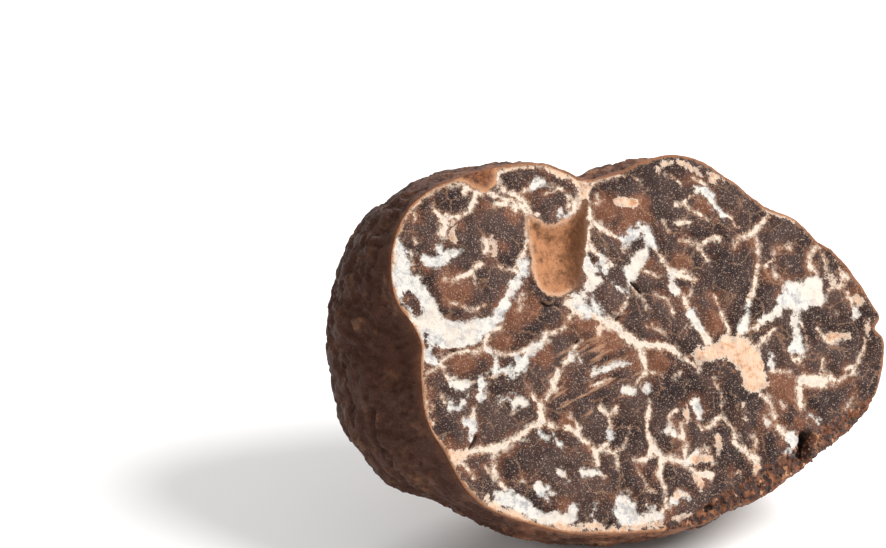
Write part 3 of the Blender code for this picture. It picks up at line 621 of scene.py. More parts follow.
def skin_relief(u, v, w):
    """How far the lumps and the furrow move the skin outwards at these points."""
    height = np.zeros(len(u))
    for lump_u, lump_v, lump_w, reach, rise in SKIN_LUMPS:
        away = (u - lump_u) ** 2 + (v - lump_v) ** 2 + (w - lump_w) ** 2
        height += rise * np.exp(-away / (2 * reach**2))
    aside = (u - FURROW_START_U - FURROW_DRIFT * w) / FURROW_REACH
    fade = np.clip(1 - w / FURROW_END_W, 0, 1) * np.clip(2 * v / HALF_HEIGHT, 0, 1)
    height -= FURROW_DEPTH * fade * np.exp(-(aside**2))
    return height * np.clip(w / RELIEF_START_W, 0, 1)


def skin_points(angles, turns, rim_angles, rim, calm):
    """The skin's points at these angles. A turn is 0 at the rim and a right angle at the back."""
    fade = np.clip(turns / RIM_FADE, 0, 1)
    near = np.interp(angles, rim_angles, rim, period=2 * math.pi)
    far = np.interp(angles, rim_angles, calm, period=2 * math.pi)
    given, swells = np.array(SKIN_SWELL, float).T
    nearby = np.degrees(angles)[:, None] + np.arange(-SWELL_REACH, SWELL_REACH + 1.0, SWELL_STEP)
    swell = np.interp(nearby, given, swells, period=360).mean(axis=1)
    out = (near * (1 - fade) + far * fade) * np.cos(turns) + swell * np.sin(2 * turns)
    points = np.stack([out * np.cos(angles), out * np.sin(angles), BODY_DEPTH * np.sin(turns)], axis=1)
    outwards = points / np.array([HALF_LENGTH**2, HALF_HEIGHT**2, BODY_DEPTH**2])
    outwards /= np.linalg.norm(outwards, axis=1)[:, None]
    return points + outwards * skin_relief(*points.T)[:, None]


def to_world(points):
    """Points of the cut's frame turned to the row's axes, still in millimetres from the middle of the cut."""
    lean = math.radians(CUT_LEAN)
    u, v, w = points.T
    return np.stack(
        [u, v * math.sin(lean) + w * math.cos(lean), v * math.cos(lean) - w * math.sin(lean)], axis=1
    )


def middle_of_cut():
    """Where the middle of the cut lies, in metres, from the CAD's box and the broad shape."""
    rim_angles, rim = rim_radii()
    calm = calmed(rim)
    angles, turns = np.meshgrid(
        np.linspace(0, 2 * math.pi, FLOOR_STEPS[0], endpoint=False),
        np.linspace(0, math.pi / 2, FLOOR_STEPS[1]),
    )
    points = to_world(skin_points(angles.ravel(), turns.ravel(), rim_angles, rim, calm))
    low, high = points.min(axis=0), points.max(axis=0)
    centre = (CAD_LOW + CAD_HIGH) / 2
    floor = CAD_LOW.z - (low[2] + FLAT_DEPTH) * MM
    return Vector((centre.x - (low[0] + high[0]) / 2 * MM, centre.y - (low[1] + high[1]) / 2 * MM, floor))


def calmed(radii):
    """The radii averaged round the rim over CALM_REACH steps to each side."""
    return sum(np.roll(radii, k) for k in range(-CALM_REACH, CALM_REACH + 1)) / (2 * CALM_REACH + 1)


def triangular_grid(spacing, reach):
    """Points on a grid of even triangles that covers a square of this reach."""
    rows = np.arange(-int(reach / spacing / 0.866) - 1, int(reach / spacing / 0.866) + 2)
    columns = np.arange(-int(reach / spacing) - 2, int(reach / spacing) + 3)
    row, column = np.meshgrid(rows, columns, indexing="ij")
    return np.stack([spacing * (column + 0.5 * (row % 2)).ravel(), spacing * 0.866 * row.ravel()], axis=1)


def filled(border, inner):
    """Triangles, as corner numbers, that fill a closed border with the inner points as corners too."""
    places = [Vector(point) for point in border] + [Vector(point) for point in inner]
    edges = [(i, (i + 1) % len(border)) for i in range(len(border))]
    plan = delaunay_2d_cdt(places, edges, [], 1, 1e-7)
    return [[plan[3][k][0] for k in face] for face in plan[2]]


def half_surface(face_grid, skin_grid):
    """The half's points, its triangles, how many of them are on the cut, and the cut's own (u, v) points."""
    angles, rim = rim_radii()
    calm = calmed(rim)
    border = np.stack([rim * np.cos(angles), rim * np.sin(angles)], axis=1)

    inner = triangular_grid(face_grid, 33.0)
    edge = np.interp(np.arctan2(inner[:, 1], inner[:, 0]), angles, rim, period=2 * math.pi)
    inner = inner[np.hypot(inner[:, 0], inner[:, 1]) < edge - 0.7 * face_grid]
    cut_faces = filled(border, inner)
    cut = np.vstack([border, inner])

    disc_grid = skin_grid / (BODY_DEPTH * math.pi / 2)
    disc = triangular_grid(disc_grid, 1.0)
    disc = disc[np.hypot(disc[:, 0], disc[:, 1]) < 1 - 0.75 * disc_grid]
    circle = np.stack([np.cos(angles), np.sin(angles)], axis=1)
    skin_faces = filled(circle, disc)
    disc_turns = (1 - np.hypot(disc[:, 0], disc[:, 1])) * math.pi / 2
    disc_angles = np.arctan2(disc[:, 1], disc[:, 0])
    skin = skin_points(disc_angles, disc_turns, angles, rim, calm)

    points = np.vstack([np.column_stack([cut, np.zeros(len(cut))]), skin])
    shift = len(inner)
    outer_faces = [[k if k < RIM_STEPS else k + shift for k in reversed(face)] for face in skin_faces]
    return points, cut_faces + outer_faces, len(cut_faces), cut, disc_angles, disc_turns


def rim_gap(points):
    """How far each point of the cut lies from its rim."""
    angles, rim = rim_radii()
    tree = KDTree(len(rim))
    for number, (angle, radius) in enumerate(zip(angles, rim)):
        tree.insert((radius * math.cos(angle), radius * math.sin(angle), 0), number)
    tree.balance()
    return np.array([tree.find((u, v, 0))[2] for u, v in points])


def skin_strokes(angles, turns, strokes):
    """stroke_field on the skin. Places are (degrees round the rim, millimetres behind it)."""
    degrees = np.degrees(angles) % 360
    places = np.column_stack([degrees * 0.45, turns * BODY_DEPTH])
    scaled = [(first, last, [(a * 0.45, d) for a, d in path]) for first, last, path in strokes]
    return stroke_field(places, scaled)


# ---------------------------------------------------------------- helpers for node trees


class Wires:
    """Adds nodes to one tree and joins them. A value may be a number, a tuple or another node's output."""

    def __init__(self, tree):
        self.tree = tree

    def node(self, kind, values=None, **settings):
        node = self.tree.nodes.new(kind)
        for name, value in settings.items():
            setattr(node, name, value)
        for name, value in (values or {}).items():
            self.feed(node.inputs[name], value)
        return node

    def feed(self, socket, value):
        if isinstance(value, bpy.types.NodeSocket):
            self.tree.links.new(value, socket)
        else:
            socket.default_value = value

    def math(self, operation, first, second=0.0, third=0.0):
        node = self.node("ShaderNodeMath", {0: first, 1: second, 2: third}, operation=operation)
        return node.outputs[0]

    def times(self, first, second):
        return self.math("MULTIPLY", first, second)

    def plus(self, first, second):
        return self.math("ADD", first, second)

    def step(self, value, low, high, to_low=0.0, to_high=1.0):
        """Eases from to_low to to_high while the value goes from low to high."""
        node = self.node(
            "ShaderNodeMapRange",
            {"Value": value, "From Min": low, "From Max": high, "To Min": to_low, "To Max": to_high},
            interpolation_type="SMOOTHSTEP",
        )
        return node.outputs["Result"]

    def noise(self, where, size, detail=2.0, rough=0.5, seed=0.0, output="Fac"):
        """Soft noise whose lumps are about this many millimetres across."""
        node = self.node(
            "ShaderNodeTexNoise",
            {"Vector": where, "W": seed, "Scale": 1 / size, "Detail": detail, "Roughness": rough},
            noise_dimensions="4D",
        )
        return node.outputs[output]

    def cells(self, where, size, feature="F1", output="Distance", random=1.0):
        """Cells about this many millimetres across."""
        node = self.node(
            "ShaderNodeTexVoronoi", {"Vector": where, "Scale": 1 / size, "Randomness": random},
            feature=feature
        )
        return node.outputs[output]

    def blend(self, amount, first, second, kind="MIX"):
        """The second colour over the first by this amount."""
        node = self.node("ShaderNodeMix", data_type="RGBA", blend_type=kind)
        for number, value in ((0, amount), (6, first), (7, second)):
            self.feed(node.inputs[number], value)
        return node.outputs[2]

    def scaled(self, vector, amount):
        node = self.node("ShaderNodeVectorMath", {0: vector, "Scale": amount}, operation="SCALE")
        return node.outputs[0]

    def added(self, first, second):
        return self.node("ShaderNodeVectorMath", {0: first, 1: second}, operation="ADD").outputs[0]

    def group(self, tree, values):
        node = self.node("ShaderNodeGroup")
        node.node_tree = tree
        for name, value in values.items():
            self.feed(node.inputs[name], value)
        return node


def add_sockets(tree, direction, sockets):
    for name, kind in sockets:
        tree.interface.new_socket(name=name, in_out=direction, socket_type=kind)


def set_input(modifier, name, value):
    """Sets a modifier's input by its socket's identifier."""
    for item in modifier.node_group.interface.items_tree:
        if item.item_type == "SOCKET" and item.in_out == "INPUT" and item.name == name:
            modifier[item.identifier] = value
            return
    raise RuntimeError(f"the tree has no input named {name}")


def linear(colour):
    return (colour[0], colour[1], colour[2], 1.0)


# ---------------------------------------------------------------- the surface relief, in Geometry Nodes


RELIEF_SIZES = (
    ("Vein Depth", "vein_depth"), ("Lobe Rise", "lobe_rise"), ("Grain Height", "grain_height"),
    ("Streak Height", "streak_height"), ("Crack Depth", "crack_depth"), ("Broken Height", "broken_height"),
    ("Wart Height", "wart_height"), ("Wrinkle Height", "wrinkle_height"), ("Pore Depth", "pore_depth"),
)


def relief_tree():
    """Moves the half's surface: veins, lobes, grain and cracks on the cut, warts and pores on the skin."""
    tree = bpy.data.node_groups.new("Truffle Relief", "GeometryNodeTree")
    add_sockets(tree, "INPUT", [("Geometry", "NodeSocketGeometry")])
    add_sockets(tree, "INPUT", [(name, "NodeSocketFloat") for name, _ in RELIEF_SIZES])
    add_sockets(tree, "INPUT", [("Flesh", "NodeSocketMaterial"), ("Skin", "NodeSocketMaterial")])
    add_sockets(tree, "OUTPUT", [("Geometry", "NodeSocketGeometry")])
    wires = Wires(tree)
    entry = wires.node("NodeGroupInput")

    def field(name):
        node = wires.node("GeometryNodeInputNamedAttribute", data_type="FLOAT")
        node.inputs["Name"].default_value = name
        return node.outputs["Attribute"]

    def size(name):
        return entry.outputs[name]

    place = wires.scaled(wires.node("GeometryNodeInputPosition").outputs[0], 1000.0)
    on_cut = field("cut")
    pocket = field("pocket")
    flesh = wires.times(on_cut, wires.step(pocket, 0.2, -0.2))
    waver = wires.times(wires.plus(wires.noise(place, 0.6, 3.0), -0.5), 0.3)

    vein = wires.plus(wires.math("MINIMUM", field("vein"), field("chalk")), waver)
    vein_mask = wires.step(vein, 0.22, -0.08)
    lobes = wires.step(vein, 0.0, 1.5)
    cut_height = wires.times(wires.times(vein_mask, -1.0), size("Vein Depth"))
    cut_height = wires.plus(cut_height, wires.times(wires.plus(lobes, -0.5), size("Lobe Rise")))
    grain = wires.plus(wires.noise(place, 0.55, 4.0, 0.65), -0.5)
    dry = wires.step(vein_mask, 0.0, 1.0, 1.0, 0.45)
    cut_height = wires.plus(cut_height, wires.times(wires.times(grain, dry), size("Grain Height")))

    turned = wires.node(
        "ShaderNodeVectorRotate", {"Vector": place, "Angle": math.radians(-60.0)}, rotation_type="X_AXIS"
    )
    turned = wires.node(
        "ShaderNodeVectorRotate", {"Vector": turned.outputs[0], "Angle": math.radians(STREAK_LEAN)},
        rotation_type="Z_AXIS"
    )
    stretched = wires.node(
        "ShaderNodeVectorMath", {0: turned.outputs[0], 1: (0.2, 1.0, 0.3)}, operation="MULTIPLY"
    ).outputs[0]
    streak = wires.plus(wires.noise(stretched, 0.75, 3.0, 0.55, seed=3.0), -0.5)
    streak = wires.times(streak, wires.step(field("torn"), 0.6, -1.2, 0.25, 1.0))
    cut_height = wires.plus(cut_height, wires.times(streak, size("Streak Height")))

    crack = wires.step(wires.plus(field("crack"), wires.times(waver, 0.4)), 0.12, -0.08)
    hollow = wires.step(field("dark_hole"), 0.3, -0.7)
    rough = wires.step(wires.plus(field("broken"), wires.times(waver, 3.0)), 0.5, -0.7)
    lumps = wires.plus(wires.noise(place, 1.1, 4.0, 0.7, seed=5.0), -0.62)
    chips = wires.plus(wires.times(wires.cells(place, 0.9), -0.8), 0.3)
    broken = wires.times(
        wires.times(rough, wires.plus(lumps, wires.times(chips, 0.35))), size("Broken Height")
    )
    cut_height = wires.times(cut_height, flesh)
    pits = wires.times(wires.plus(crack, wires.times(hollow, 3.0)), wires.times(size("Crack Depth"), -1.0))

    warts = wires.plus(wires.noise(place, 5.0, 3.0, 0.5, seed=7.0), -0.5)
    knobs = wires.plus(wires.noise(place, 1.6, 3.0, 0.6, seed=9.0), -0.5)
    ridges = wires.math("ABSOLUTE", wires.plus(wires.noise(place, 2.6, 3.0, 0.55, seed=11.0), -0.5))
    wrinkles = wires.step(ridges, 0.07, 0.0)
    pore_size = wires.cells(place, 1.5)
    few = wires.step(wires.noise(place, 4.0, 1.0, seed=13.0), 0.5, 0.62)
    pores = wires.times(wires.step(pore_size, 0.24, 0.1), few)
    skin_height = wires.times(wires.plus(warts, wires.times(knobs, 0.45)), size("Wart Height"))
    skin_height = wires.plus(skin_height, wires.times(wires.times(wrinkles, -1.0), size("Wrinkle Height")))
    skin_height = wires.plus(skin_height, wires.times(wires.times(pores, -1.0), size("Pore Depth")))
    skin_height = wires.times(skin_height, wires.step(field("behind"), 0.1, 2.2, 0.1, 1.0))
    skin_height = wires.times(skin_height, wires.math("SUBTRACT", 1.0, on_cut))

    total = wires.plus(wires.plus(cut_height, skin_height), wires.plus(pits, broken))
    move = wires.scaled(wires.node("GeometryNodeInputNormal").outputs[0], total)
    moved = wires.node("GeometryNodeSetPosition", {"Geometry": entry.outputs["Geometry"], "Offset": move})
    real = wires.node("GeometryNodeRealizeInstances", {"Geometry": moved.outputs[0]})
    skinned = wires.node(
        "GeometryNodeSetMaterial", {"Geometry": real.outputs[0], "Material": entry.outputs["Skin"]}
    )
    on_face = wires.node("GeometryNodeInputNamedAttribute", data_type="BOOLEAN")
    on_face.inputs["Name"].default_value = "cut_face"
    fleshed = wires.node(
        "GeometryNodeSetMaterial",
        {"Geometry": skinned.outputs[0], "Selection": on_face.outputs["Attribute"],
        "Material": entry.outputs["Flesh"]},
    )
    wires.node("NodeGroupOutput", {"Geometry": fleshed.outputs[0]})
    return tree


CRUMB_SIZES = (("Crumbs per mm2", "crumb_density"), ("Smallest", "crumb_least"), ("Largest", "crumb_most"))


def crumb_tree():
    """Strews small rough crumbs over the broken band of the rim."""
    tree = bpy.data.node_groups.new("Truffle Crumbs", "GeometryNodeTree")
    add_sockets(tree, "INPUT", [("Geometry", "NodeSocketGeometry")])
    add_sockets(tree, "INPUT", [(name, "NodeSocketFloat") for name, _ in CRUMB_SIZES])
    add_sockets(tree, "INPUT", [("Seed", "NodeSocketInt"), ("Crumb", "NodeSocketMaterial")])
    add_sockets(tree, "OUTPUT", [("Geometry", "NodeSocketGeometry")])
    wires = Wires(tree)
    entry = wires.node("NodeGroupInput")
    broken = wires.node("GeometryNodeInputNamedAttribute", data_type="FLOAT")
    broken.inputs["Name"].default_value = "broken"
    share = wires.step(broken.outputs["Attribute"], 0.4, -0.9)
    density = wires.times(wires.times(share, entry.outputs["Crumbs per mm2"]), 1e6)
    spread = wires.node(
        "GeometryNodeDistributePointsOnFaces",
        {"Mesh": entry.outputs["Geometry"], "Density": density, "Seed": entry.outputs["Seed"]},
        distribute_method="RANDOM",
    )
    ball = wires.node("GeometryNodeMeshIcoSphere", {"Radius": 1.0, "Subdivisions": 1})
    turn = wires.node(
        "FunctionNodeRandomValue", {"Min": (0, 0, 0), "Max": (FULL_TURN, FULL_TURN, FULL_TURN), "Seed": 4},
        data_type="FLOAT_VECTOR"
    )
    shape = wires.node(
        "FunctionNodeRandomValue", {"Min": (0.55, 0.55, 0.4), "Max": (1.2, 1.0, 0.8), "Seed": 5},
        data_type="FLOAT_VECTOR",
    )
    grade = wires.node("FunctionNodeRandomValue", data_type="FLOAT")
    ends = [socket for socket in grade.inputs if socket.type == "VALUE" and socket.enabled]
    wires.feed(ends[0], entry.outputs["Smallest"])
    wires.feed(ends[1], entry.outputs["Largest"])
    sizes = wires.scaled(shape.outputs[0], [socket for socket in grade.outputs if socket.enabled][0])
    copies = wires.node(
        "GeometryNodeInstanceOnPoints",
        {"Points": spread.outputs["Points"], "Instance": ball.outputs["Mesh"], "Rotation": turn.outputs[0],
         "Scale": sizes},
    )
    real = wires.node("GeometryNodeRealizeInstances", {"Geometry": copies.outputs[0]})
    covered = wires.node(
        "GeometryNodeSetMaterial", {"Geometry": real.outputs[0], "Material": entry.outputs["Crumb"]}
    )
    wires.node("NodeGroupOutput", {"Geometry": covered.outputs[0]})
    return tree


def baked(obj, modifier, name):
    """A plain mesh object made from what the modifier gives, with the modifier removed from its source."""
    graph = bpy.context.evaluated_depsgraph_get()
    mesh = bpy.data.meshes.new_from_object(obj.evaluated_get(graph))
    obj.modifiers.remove(modifier)
    mesh.name = name
    return mesh


# ---------------------------------------------------------------- shader groups and materials


def grain_group():
    """Fine pale specks and soft mottling, the same on flesh, skin and crumbs."""
    tree = bpy.data.node_groups.get("Fine Grain")
    if tree:
        return tree
    tree = bpy.data.node_groups.new("Fine Grain", "ShaderNodeTree")
    add_sockets(tree, "INPUT", [("Place", "NodeSocketVector"), ("Size", "NodeSocketFloat")])
    add_sockets(tree, "INPUT", [("Cover", "NodeSocketFloat")])
    add_sockets(tree, "OUTPUT", [("Specks", "NodeSocketFloat"), ("Mottle", "NodeSocketFloat")])
    add_sockets(tree, "OUTPUT", [("Height", "NodeSocketFloat")])
    wires = Wires(tree)
    entry = wires.node("NodeGroupInput")
    small = wires.node("ShaderNodeVectorMath", operation="DIVIDE")
    wires.feed(small.inputs[0], entry.outputs["Place"])
    wires.feed(small.inputs[1], entry.outputs["Size"])
    fine = wires.noise(small.outputs[0], 1.0, 2.0, 0.6)
    other = wires.noise(small.outputs[0], 2.3, 2.0, 0.6, seed=2.0)
    level = wires.math("SUBTRACT", 0.72, wires.times(entry.outputs["Cover"], 0.25))
    specks = wires.step(
        wires.plus(wires.times(fine, 0.75), wires.times(other, 0.25)), level, wires.plus(level, 0.09)
    )
    mottle = wires.step(wires.noise(small.outputs[0], 14.0, 4.0, 0.6, seed=4.0), 0.36, 0.64)
    height = wires.plus(wires.times(fine, 0.6), wires.times(other, 0.4))
    wires.node("NodeGroupOutput", {"Specks": specks, "Mottle": mottle, "Height": height})
    return tree


def new_material(name, roughness, specular):
    material = bpy.data.materials.new(name)
    material.use_nodes = True
    shader = material.node_tree.nodes["Principled BSDF"]
    shader.inputs["Roughness"].default_value = roughness
    shader.inputs["Specular IOR Level"].default_value = specular
    wires = Wires(material.node_tree)
    place = wires.scaled(wires.node("ShaderNodeTexCoord").outputs["Object"], 1000.0)
    return material, shader, wires, place


def shader_field(wires, name):
    return wires.node("ShaderNodeAttribute", attribute_name=name, attribute_type="GEOMETRY").outputs["Fac"]


def flesh_material(colours):
    """Dark marbled flesh: grainy tissue with rust margins, cream veins, chalky patches and a tan hub, with
    painted shade on the hollow's right side and in the cracks and the cavity.
    """
    material, shader, wires, place = new_material("truffle_flesh", 0.62, 0.08)

    def field(name):
        return shader_field(wires, name)

    grain = wires.group(grain_group(), {"Place": place, "Size": 0.16, "Cover": 0.72})
    coarse = wires.group(
        grain_group(), {"Place": wires.added(place, (7.0, 3.0, 1.0)), "Size": 0.34, "Cover": 0.4}
    )
    waver = wires.times(wires.plus(wires.noise(place, 0.8, 4.0, 0.65), -0.5), 1.9)
    flutter = wires.times(wires.plus(wires.noise(place, 0.2, 2.0, 0.6, seed=1.0), -0.5), 0.7)
    ragged = wires.plus(waver, flutter)
    wide = wires.times(wires.plus(wires.noise(place, 1.6, 5.0, 0.65, seed=2.0), -0.5), 3.2)

    vein = wires.plus(field("vein"), ragged)
    chalk = wires.plus(field("chalk"), wires.plus(wires.times(wide, 0.85), ragged))
    nearest = wires.math("MINIMUM", field("vein"), field("chalk"))

    tissue = wires.blend(coarse.outputs["Mottle"], linear(colours.tissue_dark), linear(colours.tissue_light))
    warm = wires.step(wires.noise(place, 3.4, 3.0, 0.6, seed=6.0), 0.5, 0.7)
    tissue = wires.blend(wires.times(warm, 0.45), tissue, linear(colours.tissue_warm))
    rust_near = wires.step(wires.plus(nearest, wires.times(wide, 1.0)), 1.3, 0.0)
    rust_patch = wires.step(wires.noise(place, 4.0, 3.0, 0.6, seed=8.0), 0.47, 0.62)
    rust = wires.times(rust_near, wires.plus(wires.times(rust_patch, 0.75), 0.06))
    spots = wires.step(wires.plus(field("rust_spot"), wires.times(wide, 0.9)), 0.7, -0.6)
    rust = wires.math("MAXIMUM", rust, wires.times(spots, 0.85))
    lines = wires.step(wires.plus(field("rust"), ragged), 0.15, -0.1)
    tissue = wires.blend(wires.math("MAXIMUM", rust, wires.times(lines, 0.9)), tissue, linear(colours.rust))
    tissue = wires.blend(wires.times(grain.outputs["Specks"], 0.62), tissue, linear(colours.speck))
    dust = wires.times(coarse.outputs["Specks"], 0.28)
    tissue = wires.blend(dust, tissue, linear(colours.tan))

    hair = wires.cells(wires.added(place,
    wires.scaled(wires.noise(place, 1.1, 3.0, seed=3.0, output="Color"), 1.1)),
                       3.1, feature="DISTANCE_TO_EDGE")
    hair = wires.times(
        wires.step(hair, 0.05, 0.008), wires.step(wires.noise(place, 2.4, 1.0, seed=9.0), 0.47, 0.56)
    )
    tissue = wires.blend(wires.times(hair, 0.3), tissue, linear(colours.vein_edge))

    turned = wires.node("ShaderNodeVectorRotate", {"Vector": place, "Angle": math.radians(-60.0)},
                        rotation_type="X_AXIS")
    turned = wires.node("ShaderNodeVectorRotate",
                        {"Vector": turned.outputs[0], "Angle": math.radians(STREAK_LEAN)},
                        rotation_type="Z_AXIS")
    drawn = wires.node(
        "ShaderNodeVectorMath", {0: turned.outputs[0], 1: (0.2, 1.0, 0.3)}, operation="MULTIPLY"
    )
    tears = wires.noise(drawn.outputs[0], 0.75, 3.0, 0.55, seed=3.0)
    tears = wires.times(wires.step(tears, 0.54, 0.66), wires.step(field("torn"), 0.4, -1.0, 0.0, 0.75))
    tissue = wires.blend(tears, tissue, linear(colours.vein_edge))
    edge = wires.step(vein, 0.16, -0.14)
    core = wires.step(vein, -0.02, -0.24)
    colour = wires.blend(wires.times(edge, 0.85), tissue, linear(colours.vein_edge))
    colour = wires.blend(core, colour, linear(colours.vein))

    haze = wires.step(wires.plus(nearest, wires.times(wide, 1.1)), 0.35, -0.45)
    haze = wires.times(haze, wires.step(wires.noise(place, 0.5, 3.0, 0.7, seed=19.0), 0.42, 0.6))
    colour = wires.blend(wires.times(haze, 0.7), colour, linear(colours.vein))
    chalk_mask = wires.step(chalk, 0.32, -0.15)
    fleck = wires.step(wires.noise(place, 0.9, 6.0, 0.8, seed=12.0), 0.46, 0.62)
    white = wires.blend(wires.times(fleck, 0.75), linear(colours.chalk), linear(colours.chalk_fleck))
    white = wires.blend(wires.times(wires.step(wires.noise(place, 3.0, 2.0, seed=20.0), 0.45, 0.6), 0.5),
    white,
                        linear(colours.vein))
    colour = wires.blend(chalk_mask, colour, white)
    deep = wires.times(wires.step(vein, -0.25, -0.6), fleck)
    colour = wires.blend(wires.times(deep, 0.6), colour, linear(colours.chalk_fleck))

    tan = wires.step(wires.plus(wires.plus(field("tan"), wires.times(wide, 0.8)), ragged), 0.3, -0.35)
    cloud = wires.noise(place, 1.1, 5.0, 0.7, seed=26.0)
    hub = wires.blend(wires.step(cloud, 0.36, 0.54), linear(colours.tan), linear(colours.hub))
    hub = wires.blend(wires.times(wires.step(cloud, 0.56, 0.7), 0.8), hub, linear(colours.vein))
    hub = wires.blend(wires.times(coarse.outputs["Specks"], 0.35), hub, linear(colours.rust))
    colour = wires.blend(wires.times(tan, 0.92), colour, hub)
    brim = wires.times(wires.step(tan, 0.05, 0.5), wires.step(tan, 0.98, 0.5))
    colour = wires.blend(wires.times(brim, 0.7), colour, linear(colours.vein))

    cells = wires.step(wires.plus(field("dark"), ragged), 0.1, -0.15)
    colour = wires.blend(cells, colour, tissue)

    near_rim = field("edge")
    band = wires.step(wires.plus(near_rim, ragged), 0.55, 0.15)
    left = wires.step(wires.node("ShaderNodeSeparateXYZ", {"Vector": place}).outputs[0], 6.0, -8.0, 0.2, 0.85)
    colour = wires.blend(wires.times(band, left), colour, linear(colours.rim))
    outer = wires.step(wires.plus(near_rim, wires.times(ragged, 0.5)), 0.4, 0.1)
    colour = wires.blend(wires.times(outer, 0.85), colour, linear(colours.rim_skin))

    crumb = wires.cells(place, 0.55, output="Color")
    pick = wires.node("ShaderNodeSeparateColor", {"Color": crumb}).outputs[0]
    rubble = wires.blend(wires.step(pick, 0.35, 0.5), linear(colours.tissue_light), linear(colours.rust))
    rubble = wires.blend(wires.step(pick, 0.72, 0.8), rubble, linear(colours.rim_skin))
    rubble = wires.blend(wires.step(pick, 0.9, 0.95), rubble, linear(colours.tan))
    rough = wires.step(wires.plus(field("broken"), wires.times(ragged, 1.6)), 0.35, -0.35)
    colour = wires.blend(wires.times(rough, 0.9), colour, rubble)

    fold = wires.step(wires.plus(field("shoulder"), wires.times(ragged, 0.5)), -0.05, 0.2)
    folded = wires.blend(wires.step(wires.noise(place, 1.3, 5.0, 0.7, seed=17.0), 0.4, 0.62),
                         linear(colours.skin_dark_and_shade), linear(colours.rim_skin))
    folded = wires.blend(wires.step(field("shoulder"), 0.9, 0.1), folded, linear(colours.tan))
    colour = wires.blend(wires.times(fold, 0.95), colour, folded)

    wall = field("pocket")
    hollow = wires.step(wires.plus(wall, wires.times(ragged, 0.6)), -0.15, 0.15)
    patches = wires.noise(place, 1.1, 5.0, 0.65, seed=15.0)
    lining = wires.blend(wires.step(patches, 0.3, 0.55), linear(colours.pocket_streaks_and_shade), linear(colours.pocket))
    lining = wires.blend(wires.times(grain.outputs["Specks"], 0.3), lining, linear(colours.tan))
    dots = wires.step(wires.cells(place, 0.55), 0.26, 0.14)
    lining = wires.blend(wires.times(dots, 0.6), lining, linear(colours.pocket_streaks_and_shade))
    lip = wires.step(wires.plus(wall, wires.times(ragged, 0.5)), 0.75, 0.1)
    lining = wires.blend(wires.times(lip, 0.4), lining, linear(colours.hub))
    # Painted shade on the right side of the hollow.
    lining = wires.blend(wires.times(wires.step(wires.plus(field("pocket_shade"), wires.times(ragged, 0.8)),
    0.2, 1.0), 0.9), lining,
                         linear(colours.pocket_streaks_and_shade))
    colour = wires.blend(hollow, colour, lining)

    # Painted shade in the cracks and the cavity.
    crack = wires.step(wires.plus(field("crack"), wires.times(ragged, 0.3)), 0.12, -0.04)
    hole = wires.step(wires.plus(field("dark_hole"), ragged), 0.4, -0.5)
    colour = wires.blend(wires.math("MAXIMUM", wires.times(crack, 0.9), wires.times(hole, 0.85)), colour,
                         linear(colours.crack))
    wires.feed(shader.inputs["Base Color"], colour)

    soft = wires.math("MAXIMUM", core, chalk_mask)
    wires.feed(shader.inputs["Roughness"], wires.step(soft, 0.0, 1.0, 0.55, 0.8))
    height = wires.plus(wires.times(grain.outputs["Height"], 0.5), wires.times(coarse.outputs["Height"], 0.7))
    height = wires.times(height, wires.step(soft, 0.0, 1.0, 1.0, 0.55))
    height = wires.plus(height, wires.times(hollow, -0.2))
    bump = wires.node("ShaderNodeBump", {"Height": height, "Strength": 0.8, "Distance": 0.0004})
    wires.feed(shader.inputs["Normal"], bump.outputs[0])
    return material


